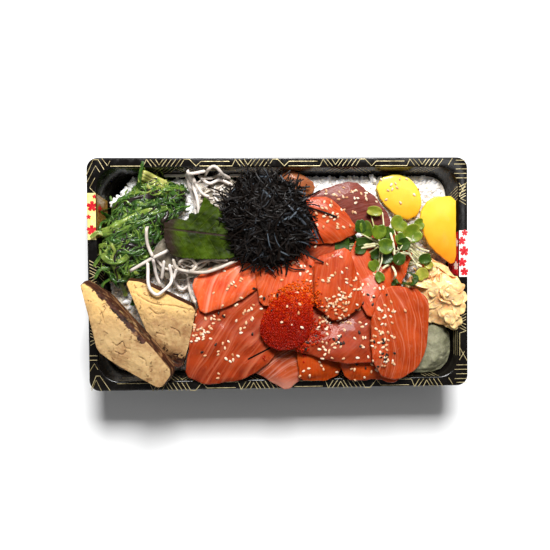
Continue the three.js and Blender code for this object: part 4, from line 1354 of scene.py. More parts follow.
@dataclass(frozen=True)
class FishFlesh:
    """Raw fish: translucent flesh with pale lines of fat and fine fibres along them.

    The attribute fibre gives the place across and along the fat lines, in millimetres. In front
    of the place pale_from along Y the flesh pales.
    """

    name: str
    flesh: int
    deep: int
    fat: int
    pitch: float = 8.0
    strength: float = 0.5
    fine: float = 0.2
    broad: float = 0.34
    depth: float = 3.4
    wet: float = 0.18
    pale_from: float = -90.0

    def fat_lines(self, s: Shader, across: Socket, pitch: float, sharp: float, soft: float) -> Socket:
        """Draws lines that start sharply on one side and fade out on the other.

        Args:
            s: The tree that they are drawn in.
            across: The place across the lines.
            pitch: How far apart they are.
            sharp: How much of the pitch the sharp side takes.
            soft: Where the soft side ends, as a share of the pitch.

        Returns:
            How much fat there is, from 0 to 1.
        """
        saw = s.maths("FRACT", s.maths("DIVIDE", across, pitch))
        rise = s.window(saw, 0.0, sharp)
        fall = s.window(saw, sharp, soft, 1.0, 0.0)
        return s.maths("MULTIPLY", rise, fall)

    def material(self) -> Material:
        """Builds the finish."""
        s = Shader(self.name)
        fibre = s.attribute("fibre", "Vector")
        along = s.stretch(fibre, (1, 0.28, 1))
        wander = s.window(s.noise(along, 9.0, 1.0), 0.2, 0.8, -2.2, 2.2)
        across = s.maths("ADD", s.part(fibre, 0), wander)
        broad = self.fat_lines(s, across, self.pitch, 0.25 * self.broad, self.broad)
        thin = self.fat_lines(s, s.maths("ADD", across, 0.6 * self.pitch), self.pitch * 0.47, 0.1, 0.45)
        patchy = s.window(s.noise(along, 5.0, 2.0), 0.3, 0.62, 0.35, 1.0)
        fat = s.maths("MULTIPLY", s.maths("MULTIPLY", broad, patchy), self.strength)
        fat = s.maths("MAXIMUM", fat, s.maths("MULTIPLY", s.maths("MULTIPLY", thin, patchy), self.fine))
        cloud = s.noise(s.spot(), 11.0, 3.0, 0.4)
        streak = s.noise(s.stretch(fibre, (1, 0.1, 1)), 0.8, 3.0)
        tone = s.mixed(cloud, 0.62, streak, 0.38)
        marbled = s.window(s.noise(s.stretch(fibre, (1, 0.4, 1)), 1.5, 3.0, 0.6), 0.56, 0.72, 0.0, 0.3)
        pale = s.window(s.part(s.spot(), 1), self.pale_from, self.pale_from + 8, 0.6, 0.0)
        flesh = s.ramp(tone, [(0.36, self.deep), (0.58, self.flesh)])
        fat = s.maths("MAXIMUM", fat, s.maths("MAXIMUM", marbled, pale))
        height = s.mixed(fat, 0.7, streak, 0.5)
        ripple = s.bump(s.noise(along, 2.6, 2.0), 0.22)
        return s.dress({
            "Base Color": s.blend(fat, flesh, rgb(self.fat)),
            "Roughness": s.window(s.noise(s.spot(), 3.0, 3.0), 0.3, 0.7, 0.4, 0.58),
            "Normal": s.bump(height, 0.14, ripple), "Specular IOR Level": 0.15,
            "IOR": 1.4, "Coat Weight": self.wet, "Coat Roughness": 0.07, "Coat IOR": 1.34,
            **translucent(0.55, self.depth, (1.0, 0.34, 0.16)),
        })


@dataclass(frozen=True)
class Cut:
    """One slice of fish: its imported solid, how its fat lines lie, and where its outline bulges."""

    node: str
    flesh: str
    heading: float
    bend: float = 0.0
    shift: float = 0.0
    bulge: tuple[float, float] = (0.0, 0.0)

    def fields(self, points: np.ndarray) -> dict[str, np.ndarray]:
        """Works out where each point is across and along the fat lines.

        Args:
            points: The slice's points.

        Returns:
            The attribute fibre.
        """
        middle = points.mean(axis=0)
        x, y = points[:, 0] - middle[0], points[:, 1] - middle[1]
        turn = math.radians(self.heading)
        v = x * math.cos(turn) + y * math.sin(turn)
        u = -x * math.sin(turn) + y * math.cos(turn)
        across = u + self.bend * v**2 + self.shift
        return {"fibre": np.column_stack([across, v, np.full(len(points), self.shift)])}


@dataclass
class FishPlatter:
    """All the slices of salmon and tuna."""

    swell: float = 0.45
    swell_length: float = 13.0
    rounding: float = 0.9
    lap: float = 1.5
    ragged: float = 0.8
    cuts: tuple[Cut, ...] = (
        Cut("salmon_01", "pointed_salmon", 27, 0.006, 2),
        Cut("salmon_02", "orange_salmon", 85, 0, 1),
        Cut("salmon_03", "orange_salmon", 80, 0, 3),
        Cut("salmon_04", "striped_salmon", 52, 0.003, 1),
        Cut("salmon_05", "bright_salmon", 62, 0.01, 3.5),
        Cut("salmon_06", "deep_salmon", 30, 0, 5),
        Cut("salmon_07", "rosy_salmon", 40, 0.004, 7),
        Cut("salmon_08", "middle_salmon", 68, 0, 2),
        Cut("salmon_09", "fresh_salmon", 115, 0, 4, (40, 4)),
        Cut("salmon_10", "fresh_salmon", 80, 0, 6),
        Cut("salmon_11", "lined_salmon", 99, -0.006, 0),
        Cut("salmon_12", "fresh_salmon", -35, 0.004, 3),
        Cut("tuna_1", "brown_tuna", -20, 0, 2),
        Cut("tuna_2", "mauve_tuna", 15, 0.004, 4, (15, 5)),
    )

    def finishes(self) -> dict[str, Material]:
        """Builds a finish for each kind of flesh; two kinds are darker as painted shade."""
        kinds = (
            FishFlesh("bright_salmon", 0xDC5E2C, 0xC44018, 0xE0947A, 9.6, 0.75, 0.2, 0.34),
            # Slice 04 lies at the front, and its flesh is darker there as painted shade.
            FishFlesh("striped_salmon", 0x9E3812, 0x7E2408, 0xBA6442, 9.0, 0.7, 0.4, 0.3),
            FishFlesh("pointed_salmon", 0xA6461E, 0x862E10, 0xCC9480, 7.0, 0.6, 0.35, 0.26, pale_from=-65.0),
            FishFlesh("rosy_salmon", 0x983616, 0x78240C, 0xA05236, 6.4, 0.35, 0.2, 0.3),
            FishFlesh("orange_salmon", 0xAE3E04, 0x8E2E02, 0xBE6034, 7.0, 0.2, 0.12, 0.3),
            # Slice 06 is darker as painted shade from the shreds heaped over it.
            FishFlesh("deep_salmon", 0xA8421E, 0x822C12, 0xB86A4A, 5.0, 0.3, 0.2, 0.3),
            FishFlesh("middle_salmon", 0xC85222, 0xAE3A10, 0xD48060, 5.6, 0.35, 0.3, 0.25),
            FishFlesh("fresh_salmon", 0xBE4A1C, 0xA2340C, 0xCE7A58, 5.6, 0.3, 0.22, 0.25),
            FishFlesh("lined_salmon", 0xB24418, 0x98320C, 0xD08262, 4.7, 0.62, 0.2, 0.24),
            FishFlesh("brown_tuna", 0x9C5C36, 0x783C1E, 0xAE7A58, 6.0, 0.2, 0.2, 0.3, 1.4, 0.12),
            FishFlesh("mauve_tuna", 0x84443A, 0x602418, 0x946056, 5.5, 0.35, 0.25, 0.3, 1.4, 0.12),
        )
        return {kind.name: kind.material() for kind in kinds}

    def build(self) -> list[Object]:
        """Makes every slice.

        Returns:
            The slices.
        """
        finishes = self.finishes()
        slices = []
        for seed, cut in enumerate(self.cuts):
            slab = Slab(cut.node, rounding=self.rounding)
            heading, amount = cut.bulge
            off = np.abs(np.angle(np.exp(1j * (slab.angles - math.radians(heading)))))
            slab.reaches = slab.reaches + self.lap + amount * np.exp(-((off / 0.6) ** 2))
            slab.roughened(self.ragged, 7.0)

            def relief(x: np.ndarray, y: np.ndarray, inset: np.ndarray) -> np.ndarray:
                """Lets the slice swell and sink a little."""
                return self.swell * waves(x, y, self.swell_length, seed) * np.clip(inset / 3, 0.2, 1)

            obj = slab.build(f"{cut.node}_slice", finishes[cut.flesh], relief, cut.fields)
            slices.append(hand_over(obj, cut.node.split("_")[0], cut.node))
        return slices


# ---------------------------------------------------------------- rice


@dataclass(frozen=True)
class CookedRice:
    """Sticky white rice, slightly see-through and moist."""

    bright: int = 0xFFFAF4
    dull: int = 0xE6D8C6

    def material(self) -> Material:
        """Builds the finish."""
        s = Shader("cooked_rice")
        cloud = s.noise(s.spot(), 2.5, 3.0)
        tone = s.mixed(s.attribute("tint"), 0.5, cloud, 0.5)
        return s.dress({
            "Base Color": s.ramp(tone, [(0.15, self.dull), (0.5, self.bright)]),
            "Roughness": s.window(cloud, 0.3, 0.7, 0.3, 0.5),
            "Normal": s.bump(s.noise(s.spot(), 0.9, 2.0), 0.08),
            **translucent(0.4, 1.6, (1.0, 0.85, 0.65)),
        })


@dataclass
class RiceBed:
    """The rice that fills the tray, with loose grains wherever it shows."""

    grain: tuple[float, float, float] = (6.0, 2.6, 2.4)
    spacing: float = 2.1
    sink: float = 0.5
    seed: int = 5

    def build(self, others: Form) -> list[Object]:
        """Makes the rice.

        Args:
            others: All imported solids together, which tell where the rice shows.

        Returns:
            The core with its grains.
        """
        finish = CookedRice().material()
        slab = Slab("rice_bed", spokes=240, rings=60, rounding=2.5, clearing=3, evening=2)
        core = slab.build("rice_core", finish, lambda x, y, inset: self.lumps(x, y) - 0.9, crumb=(3.0, 0.5))
        grains = Grains("rice_grains", self.grain, variation=0.1, seed=self.seed)
        draw = random.Random(self.seed)
        low, high = slab.form.low, slab.form.high
        y = low[1]
        while y < high[1]:
            x = low[0]
            while x < high[0]:
                self.drop(grains, draw, others, x + draw.uniform(-1, 1), y + draw.uniform(-1, 1))
                x += self.spacing
            y += self.spacing
        loose = grains.build(finish)
        whole = joined("rice", [core, loose])
        hand_over(whole, "rice", "rice_bed")
        return [whole]

    def lumps(self, x: np.ndarray, y: np.ndarray) -> np.ndarray:
        """Gives relief of the size of the grains."""
        return 0.3 * waves(x, y, 4.5, 51) + 0.4 * waves(x, y, 11.0, 52)

    def drop(self, grains: Grains, draw: random.Random, others: Form, x: float, y: float) -> None:
        """Lays grains at a spot, if the rice shows there or just beside it."""
        reach = 1.6
        around = [(0, 0), (reach, 0), (-reach, 0), (0, reach), (0, -reach)]
        touches = [others.touch(x + dx, y + dy) for dx, dy in around]
        if not any(touch and touch[2] == "rice_bed" for touch in touches):
            return
        heights = [touch[0].z for touch in touches if touch and touch[2] == "rice_bed"]
        for _ in range(2):
            z = min(heights) - self.sink + draw.uniform(-0.7, 0.5)
            spin = (draw.uniform(-0.35, 0.35), draw.uniform(-0.4, 0.4), draw.uniform(0, math.pi))
            place = np.array([[x + draw.uniform(-0.8, 0.8), y + draw.uniform(-0.8, 0.8), z]])
            held = CAVITY.hold(place, 0.5 * self.grain[0] + 0.2)
            if np.abs(held - place).max() > self.grain[1]:
                continue
            grains.add(tuple(held[0]), spin, draw.random())


# ---------------------------------------------------------------- pickles


@dataclass(frozen=True)
class PickledRadish:
    """Bright yellow pickled radish, smooth and a little see-through."""

    name: str
    light: int
    deep: int

    def material(self) -> Material:
        """Builds the finish: paler at the back as painted light and deeper towards the front as painted shade."""
        s = Shader(self.name)
        slope = s.part(s.attribute("lie", "Vector"), 1)
        cloud = s.noise(s.spot(), 9.0, 2.0)
        # Where a point lies from front to back sets its tone: painted light at the back, painted shade at the front.
        tone = s.mixed(slope, 0.75, cloud, 0.3)
        pores = s.noise(s.spot(), 0.6, 3.0)
        return s.dress({
            "Base Color": s.ramp(tone, [(0.2, self.deep), (0.75, self.light)]),
            "Roughness": s.window(cloud, 0.3, 0.7, 0.4, 0.55), "Specular IOR Level": 0.3,
            "Normal": s.bump(pores, 0.05), "Coat Weight": 0.2, "Coat Roughness": 0.1,
            **translucent(0.4, 3.0, (1.0, 0.75, 0.15)),
        })


@dataclass(frozen=True)
class HorseradishPaste:
    """Pale green paste, matt and finely grainy."""

    light: int = 0x85836A
    deep: int = 0x5F5E46

    def material(self) -> Material:
        """Builds the finish."""
        s = Shader("horseradish_paste")
        spot = s.spot()
        cloud = s.noise(spot, 6.0, 4.0)
        grit = s.noise(spot, 0.7, 4.0)
        lumps = s.bump(s.noise(spot, 3.0, 3.0), 0.5)
        return s.dress({
            "Base Color": s.ramp(s.mixed(cloud, 0.7, grit, 0.3),
                                 [(0.35, self.deep), (0.6, self.light)]),
            "Roughness": s.window(grit, 0.3, 0.7, 0.6, 0.8), "Normal": s.bump(grit, 0.16, lumps),
            "Specular IOR Level": 0.3,
            **translucent(0.25, 1.5, (0.8, 1.0, 0.5)),
        })


@dataclass(frozen=True)
class GingerFlesh:
    """Thin slices of pickled ginger, peach-coloured, wet and see-through."""

    light: int = 0xFFCB8C
    blush: int = 0xE88E50

    def material(self) -> Material:
        """Builds the finish."""
        s = Shader("pickled_ginger")
        spot = s.spot()
        cloud = s.noise(spot, 7.0, 3.0, 0.5)
        vein = s.noise(s.stretch(spot, (1, 0.2, 1), 30), 1.4, 3.0)
        tone = s.mixed(cloud, 0.6, s.attribute("tint"), 0.4)
        return s.dress({
            "Base Color": s.ramp(tone, [(0.28, self.blush), (0.55, self.light)]),
            "Roughness": s.window(cloud, 0.3, 0.7, 0.4, 0.55), "Normal": s.bump(vein, 0.14),
            "Specular IOR Level": 0.35, "Coat Weight": 0.25, "Coat Roughness": 0.1,
            **translucent(0.5, 2.2, (1.0, 0.65, 0.35)),
        })


@dataclass
class Pickles:
    """Two slices of radish, a heap of ginger and a lump of horseradish paste."""

    fold_length: float = 9.0
    fold_height: float = 0.8
    slices: int = 34
    spread: tuple[Place, ...] = ((84, 5, 0.9), (89, 6, 0.4), (81, -1, 0.9))
    seed: int = 83
    white_edge: Route = ((84, 10), (91, 6), (97, 1), (101, -3))

    def lie(self, points: np.ndarray) -> dict[str, np.ndarray]:
        """Gives each point's place in its own slice, from 0 to 1 each way."""
        low, high = points.min(axis=0), points.max(axis=0)
        return {"lie": (points - low) / (high - low)}

    def sag(self, x: np.ndarray, y: np.ndarray, inset: np.ndarray) -> np.ndarray:
        """Gives the gentle unevenness of a cut slice."""
        return 0.2 * waves(x, y, 16.0, 61)

    def radish(self) -> list[Object]:
        """Makes the slices of radish."""
        finishes = {
            "takuan_1": PickledRadish("pale_radish", 0xEACB40, 0xE4A81C),
            "takuan_2": PickledRadish("deep_radish", 0xF2C226, 0xE88C10),
        }
        slices = []
        for node, finish in finishes.items():
            slab = Slab(node, rounding=0.6)
            slab.roughened(0.25, 5.0)
            obj = slab.build(f"{node}_slice", finish.material(), self.sag, self.lie)
            slices.append(hand_over(obj, "takuan", node))
        return slices

    def paste(self) -> Object:
        """Makes the lump of horseradish paste."""
        slab = Slab("wasabi", rounding=3.0, clearing=1)
        obj = slab.build("wasabi_lump", HorseradishPaste().material(),
                         lambda x, y, inset: 0.5 * waves(x, y, 7.0, 71), crumb=(4.5, 0.8))
        return hand_over(obj, "wasabi", "wasabi")

    def folds(self, x: np.ndarray, y: np.ndarray, inset: np.ndarray) -> np.ndarray:
        """Gives the ginger's sharp folds and the hollows between them."""
        ridge = 1 - np.abs(waves(x, y, 2 * self.fold_length, 81)) * 1.6
        small = 1 - np.abs(waves(x, y, self.fold_length, 82)) * 1.5
        return self.fold_height * (0.8 * ridge + 0.5 * small - 0.9) * np.clip(inset / 2, 0.2, 1)

    def ginger(self, packed: Form) -> Object:
        """Makes the heap of ginger, a folded mass with ruffled slices on it and on the rice beside it.

        Args:
            packed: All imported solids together, on which the outer slices lie.

        Returns:
            The heap.
        """
        finish = GingerFlesh().material()
        slab = Slab("pickled_ginger", spokes=220, rings=44, rounding=2.0, clearing=2, evening=2)
        core = slab.build("ginger_mass", finish, self.folds, tinted(0.6), (5.0, 0.2))
        slices = Petals()
        draw = random.Random(self.seed)
        ceiling = slab.form.high[2]
        for x, y, ground in slab.form.spots(draw, self.slices):
            out = math.atan2(y - slab.centre[1], x - slab.centre[0])
            heading = out + draw.uniform(-0.9, 0.9)
            length, width = draw.uniform(7, 12), draw.uniform(5, 9)
            foot = (x - 0.5 * length * math.cos(heading), y - 0.5 * length * math.sin(heading), ground - 0.6)
            turns = (heading, draw.uniform(-0.3, 0.02), draw.uniform(-0.4, 0.4))
            slices.add(foot, (length, width, 0.6), turns, draw.uniform(0.1, 1.0), 0.1, 0.0, 0.7, ceiling)
        for x, y, tint in self.spread:
            foot = (x - 5, y - 2, (packed.top(x, y) or ceiling) + 0.1)
            turns = (draw.uniform(-1.2, 1.2), 0.0, draw.uniform(-0.15, 0.15))
            slices.add(foot, (13, 7, 0.6), turns, tint, 0.08, 0.0, 0.8, ceiling + 2)
        strip = Strands("ginger_edge", 4.6, 0.8, sides=10)
        route = lay_along(slab.form, curve_through(self.white_edge, 0.8), 0.2)
        along = np.linspace(0, 1, len(route))
        route[:, 2] += 0.3 * np.sin(along * 13)
        strip.add(route, 0.5 + 0.5 * np.sin(np.pi * along) ** 0.6, (0.4, 0.5, 1.0), 1.2)
        ruffles = [slices.build("ginger_slices", finish), strip.build(finish)]
        whole = joined("ginger_heap", [core, *ruffles])
        return hand_over(whole, "ginger", "pickled_ginger")

    def build(self, packed: Form) -> list[Object]:
        """Makes all the pickles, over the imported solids."""
        return [*self.radish(), self.paste(), self.ginger(packed)]


# ---------------------------------------------------------------- omelette


@dataclass(frozen=True)
class RolledOmelette:
    """Rolled omelette: a porous tan cut face and browned skin round it.

    The attribute inset gives how far a point is from the outline, face how level it is, crack how
    near it is to a crack and burnt how much of it lies in the browned band. The steep sides
    and the browned band are browned skin, darkened further as painted shade.
    near it is to a crack and burnt how much of it is browned.
    """

    bright: int = 0xE8BA72
    cut: int = 0xBA9A6A
    tan: int = 0x966E46
    skin: int = 0x47200C
    char: int = 0x1E0C05

    def material(self) -> Material:
        """Builds the finish."""
        s = Shader("rolled_omelette")
        spot = s.spot()
        cloud = s.noise(spot, 12.0, 4.0, 0.5)
        pore = s.noise(spot, 1.6, 4.0)
        speck = s.window(s.noise(spot, 2.2, 4.0, 1.0), 0.62, 0.69)
        tone = s.mixed(cloud, 0.7, pore, 0.3)
        # The face is darker towards the front, below Y -34 mm, as painted shade, and brighter towards the back, above
        # Y -8 mm, as painted light.
        near = s.ramp(tone, [(0.36, self.tan), (0.58, self.cut)])
        far = s.ramp(tone, [(0.34, self.cut), (0.56, self.bright)])
        crumb = s.blend(s.window(s.part(spot, 1), -34.0, -8.0), near, far)
        flecked = s.blend(s.maths("MULTIPLY", speck, 0.6), crumb, rgb(0x6E431C))
        layer = s.noise(s.stretch(spot, (0.12, 0.12, 1.4)), 0.8, 3.0, 0.3)
        streak = s.window(s.noise(s.stretch(spot, (0.25, 0.25, 1.0)), 2.2, 3.0, 0.6), 0.5, 0.66, 0.0, 0.75)
        browned = s.blend(streak, s.ramp(layer, [(0.4, self.char), (0.6, self.skin)]), rgb(self.tan))
        # Steep sides take the dark skin colour: browned skin, darkened further as painted shade.
        side = s.window(s.attribute("face"), 0.45, 0.75, 1.0, 0.0)
        ragged = s.window(s.noise(spot, 2.4, 3.0, 0.8), 0.3, 0.7, -0.9, 0.9)
        rim = s.window(s.maths("ADD", s.attribute("inset"), ragged), 0.0, 0.8, 0.3, 0.0)
        crack = s.window(s.maths("ADD", s.attribute("crack"), s.maths("MULTIPLY", ragged, 0.35)), 0.4, 1.0, 0.0, 0.6)
        # The browned band: browned skin with painted shade on it.
        scorch = s.window(s.maths("ADD", s.attribute("burnt"), s.maths("MULTIPLY", ragged, 0.35)), 0.35, 0.65)
        edge = s.maths("MAXIMUM", s.maths("MAXIMUM", side, rim), s.maths("MAXIMUM", crack, scorch))
        pit = s.bump(pore, 0.4)
        return s.dress({
            "Base Color": s.blend(edge, flecked, browned),
            "Roughness": s.window(pore, 0.3, 0.7, 0.55, 0.75), "Normal": s.bump(speck, 0.35, pit),
            "Specular IOR Level": 0.25, **translucent(0.12, 1.0, (1.0, 0.6, 0.25)),
        })


def nearness(points: np.ndarray, routes: Sequence[Route], width: float) -> np.ndarray:
    """Gives how near each point is to any of some lines, seen from above.

    Args:
        points: One row for each point, in millimetres.
        routes: The points that each line runs through.
        width: How far the effect reaches.

    Returns:
        1 on a line and 0 well away from them all.
    """
    best = np.full(len(points), np.inf)
    for route in routes:
        line = curve_through(route, 0.4)
        for start in range(0, len(line), 40):
            chunk = line[start : start + 40]
            gaps = np.hypot(points[:, None, 0] - chunk[None, :, 0], points[:, None, 1] - chunk[None, :, 1])
            best = np.minimum(best, gaps.min(axis=1))
    return np.exp(-((best / width) ** 2))


@dataclass(frozen=True)
class OmeletteCut:
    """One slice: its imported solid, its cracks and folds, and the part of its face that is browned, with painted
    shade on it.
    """

    node: str
    cracks: tuple[Route, ...]
    crack_width: float
    browned: Route
    browned_width: float
    step: float = 0.0


@dataclass
class Omelettes:
    """Two thick slices of rolled omelette, leaning on each other and the tray."""

    crack_depth: float = 0.7
    cuts: tuple[OmeletteCut, ...] = (
        OmeletteCut(
            "omelette_1",
            (((-93.5, -37), (-91, -38.6), (-88, -36.6), (-86.6, -40), (-84, -40.6)), ((-92, -42), (-88.6, -43.6), (-86, -42)),
             ((-101, -18), (-99, -21), (-98, -26)), ((-79, -45), (-76, -47), (-75, -50))),
            0.32, ((-104, -6), (-96, -14), (-90, -21), (-84, -28), (-77, -36)), 1.9,
        ),
        OmeletteCut(
            "omelette_2",
            (((-88, -8), (-82, -10.4), (-76, -14.4), (-69, -17), (-61, -17.6), (-50, -20.4)),
             ((-74, -19), (-70, -22), (-66, -21.6)), ((-62, -30), (-58, -32), (-57, -35)), ((-70, -33), (-66, -34))),
            0.4, ((-71, -46), (-63, -50), (-54, -52)), 6.0, 2.4,
        ),
    )

    def slice(self, cut: OmeletteCut, seed: int, finish: Material) -> Object:
        """Makes one slice."""
        slab = Slab(cut.node, spokes=260, rings=64, follow_sides=True, evening=1, clearing=0)

        def relief(x: np.ndarray, y: np.ndarray, inset: np.ndarray) -> np.ndarray:
            """Gives the slice's waves, its cracks and the step down to its browned part."""
            spots = np.column_stack([x, y])
            dents = self.crack_depth * nearness(spots, cut.cracks, cut.crack_width)
            dents += cut.step * nearness(spots, [cut.browned], cut.browned_width)
            return (0.2 * waves(x, y, 9.0, 91 + seed) - dents) * np.clip(inset / 2, 0, 1)

        def fields(points: np.ndarray) -> dict[str, np.ndarray]:
            """Gives the attributes that the finish reads."""
            return {
                "crack": nearness(points, cut.cracks, cut.crack_width),
                "burnt": nearness(points, [cut.browned], cut.browned_width),
            }

        obj = slab.build(f"{cut.node}_slice", finish, relief, fields, (2.6, 0.2))
        facing = np.array([abs(v.normal.z) for v in obj.data.vertices])
        obj.data.attributes.new("face", "FLOAT", "POINT").data.foreach_set("value", facing)
        return hand_over(obj, "omelette", cut.node)

    def build(self) -> list[Object]:
        """Makes both slices."""
        finish = RolledOmelette().material()
        return [self.slice(cut, seed, finish) for seed, cut in enumerate(self.cuts)]


# ---------------------------------------------------------------- seaweed, radish threads and leaf


@dataclass(frozen=True)
class TintedFood:
    """Moist food whose colour runs along a scale by the attribute tint."""

    name: str
    scale: Scale
    roughness: float = 0.42
    wet: float = 0.2
    vein: float = 0.15
    glow: float = 0.3
    glow_tint: tuple[float, float, float] = (0.6, 1.0, 0.3)
    mottle: float = 0.2
    shine: float = 0.3

    def material(self) -> Material:
        """Builds the finish."""
        s = Shader(self.name)
        spot = s.spot()
        cloud = s.noise(spot, 3.0, 3.0, 0.5)
        shift = s.window(cloud, 0.2, 0.8, -self.mottle, self.mottle)
        tone = s.maths("ADD", s.attribute("tint"), shift, clamp=True)
        ripple = s.noise(spot, 0.9, 3.0, 0.4)
        return s.dress({
            "Base Color": s.ramp(tone, self.scale),
            "Roughness": s.window(cloud, 0.3, 0.7, self.roughness - 0.08, self.roughness + 0.12),
            "Normal": s.bump(ripple, self.vein), "Specular IOR Level": self.shine,
            "Coat Weight": self.wet, "Coat Roughness": 0.08,
            **translucent(self.glow, 1.2, self.glow_tint),
        })


def lay_along(form: Form, flat: np.ndarray, lift: float, rounds: int = 6) -> np.ndarray:
    """Lays a flat curve on a form.

    Args:
        form: What it lies on.
        flat: One row of x and y for each point.
        lift: How far above the form its middle runs.
        rounds: How much its heights are evened out.

    Returns:
        One row of x, y and z for each point.
    """
    heights: list[float] = []
    for x, y in flat:
        z = form.top(x, y)
        heights.append(z if z is not None else (heights[-1] if heights else float(form.low[2])))
    return np.column_stack([flat, evened(np.array(heights), rounds) + lift])


def bowed(x: float, y: float, turn: float, reach: float, bend: float) -> np.ndarray:
    """Gives a flat bowed curve about a spot: its heading, half its length and how far it bows."""
    dx, dy = math.cos(turn), math.sin(turn)
    route = [(x - reach * dx, y - reach * dy), (x - bend * dy, y + bend * dx), (x + reach * dx, y + reach * dy)]
    return curve_through(route, 0.8)


@dataclass
class SeaweedSalad:
    """A heap of wet seaweed: long strips, thin threads and a few dark pieces on a bumpy mass."""

    seed: int = 7
    curl: float = 1.3
    strips: int = 120
    threads: int = 420
    scale: Scale = (
        (0.0, 0x1E1418), (0.16, 0x2A2018), (0.3, 0x1C3410), (0.5, 0x3C6020), (0.72, 0x748C34), (1.0, 0xB2B060),
    )
    fringe: tuple[tuple[float, float, float, int], ...] = (
        (-90, 42, 6, 26), (-84, 48, 5, 16), (-72, 53, 7, 26), (-62, 50, 6, 18), (-98, 30, 4, 10),
    )
    stalks: tuple[tuple[Route, float, float], ...] = (
        (((-104, 23), (-93, 26), (-82, 32), (-64, 39)), 2.0, 0.68),
        (((-99, 20), (-86, 26), (-72, 33), (-62, 37)), 1.2, 0.56),
        (((-96, 40), (-90, 41), (-82, 41), (-76, 38)), 1.0, 0.5),
        (((-81, 57), (-76, 56), (-70, 53), (-65, 51)), 2.2, 0.95),
        (((-80, 54), (-73, 53.5), (-67, 50)), 1.6, 0.85),
        (((-72, 55), (-65, 50), (-58, 44)), 1.2, 0.55),
        (((-103, 14), (-97, 8), (-90, 8), (-86, 11)), 1.2, 0.68),
        (((-99, 14), (-92, 7), (-84, 2), (-79, -3)), 0.9, 0.78),
        (((-95, 8), (-93, 0), (-91, -8), (-90, -13)), 1.0, 0.7),
        (((-99, 46), (-96, 40), (-91, 36)), 0.6, 0.55),
        (((-80, 48), (-79, 56), (-77, 64)), 0.7, 0.5),
        (((-31, 56), (-29, 60), (-27, 65)), 0.9, 0.6),
        (((-89, 41), (-81, 43), (-73, 45), (-68, 47)), 1.3, 0.06),
        (((-91, 20), (-86, 18), (-81, 17)), 1.3, 0.04),
        (((-90, 17), (-85, 15), (-80, 18)), 0.8, 0.02),
        (((-84, -4), (-83, -12), (-86, -18)), 1.0, 0.36),
        (((-98, 17), (-103, 16), (-107, 12), (-107, 7)), 1.0, 0.72),
        (((-97, 10), (-102, 10), (-106, 5)), 0.7, 0.6),
        (((-97, 4), (-102, 3), (-105, -2)), 0.7, 0.5),
        (((-98, 22), (-103, 24), (-107, 21)), 0.9, 0.78),
        (((-96, -2), (-101, -5), (-103, -11)), 0.6, 0.5),
        (((-96, 33), (-101, 30), (-105, 30)), 0.6, 0.5),
    )

    def frill(self, ribbons: Strands, form: Form, draw: random.Random, x: float, y: float) -> None:
        """Lays one wavy strip at a spot.

        Args:
            ribbons: The strips that it is added to.
            form: What it lies on.
            draw: Where the random numbers come from.
            x: The spot's place along X.
            y: The spot's place along Y.
        """
        turn = draw.gauss(0.5, 0.8)
        flat = bowed(x, y, turn, draw.uniform(4, 10), draw.uniform(-3.5, 3.5))
        sway = self.curl * waves(flat[:, 0], flat[:, 1], 7.0, draw.randrange(90))
        flat += np.outer(sway, (-math.sin(turn), math.cos(turn)))
        if any(form.top(a, b) is None for a, b in flat[:: max(1, len(flat) // 4)]):
            return
        path = lay_along(form, flat, draw.uniform(-0.9, 0.5))
        along = np.linspace(0, 1, len(path))
        phase, rate = draw.uniform(0, 6), draw.uniform(4, 9)
        path[:, 2] += 0.35 * np.sin(along * rate + phase) + 0.8 * np.sin(np.pi * along) - 0.5
        lean = draw.uniform(-0.8, 0.8) + 0.5 * np.sin(along * rate * 0.8 + phase)
        facing = np.column_stack([-math.sin(turn) * lean, math.cos(turn) * lean, np.ones(len(path))])
        girth = draw.uniform(0.6, 1.3) * (0.6 + 0.4 * np.sin(np.pi * along)) * (1 + 0.12 * np.sin(along * 17 + phase))
        ribbons.add(path, girth, facing, self.tint(x, y, draw))

    def tint(self, x: float, y: float, draw: random.Random) -> float:
        """Picks a strip's colour by where it lies, brighter at the back and darker in front."""
        if draw.random() < 0.07:
            return draw.uniform(0.0, 0.12)
        bright = math.exp(-(((x + 74) / 10) ** 2 + ((y - 54) / 7) ** 2))
        bright += 0.6 * math.exp(-(((x + 101) / 8) ** 2 + ((y - 14) / 10) ** 2))
        dark = math.exp(-(((x + 64) / 9) ** 2 + ((y - 40) / 9) ** 2))
        return min(1.0, max(0.2, draw.uniform(0.32, 0.66) + 0.4 * bright - 0.12 * dark))

    def stalk(self, ribbons: Strands, form: Form, route: Route, girth: float, tint: float) -> None:
        """Lays one thick stalk as three strips side by side."""
        flat = curve_through(route, 0.8)
        path = lay_along(form, flat, 0.2, 10)
        along = np.linspace(0, 1, len(path))
        side = np.gradient(flat, axis=0)
        side = np.column_stack([-side[:, 1], side[:, 0]]) / np.linalg.norm(side, axis=1)[:, None]
        for offset in (-0.28, 0.0, 0.28):
            moved = path.copy()
            moved[:, :2] += side * offset * ribbons.width * girth
            moved[:, 2] += 0.25 * np.sin(along * 9 + offset * 20)
            ribbons.add(moved, girth * (0.46 + 0.16 * np.sin(np.pi * along)), (0, 0, 1), tint + 0.16 * offset)

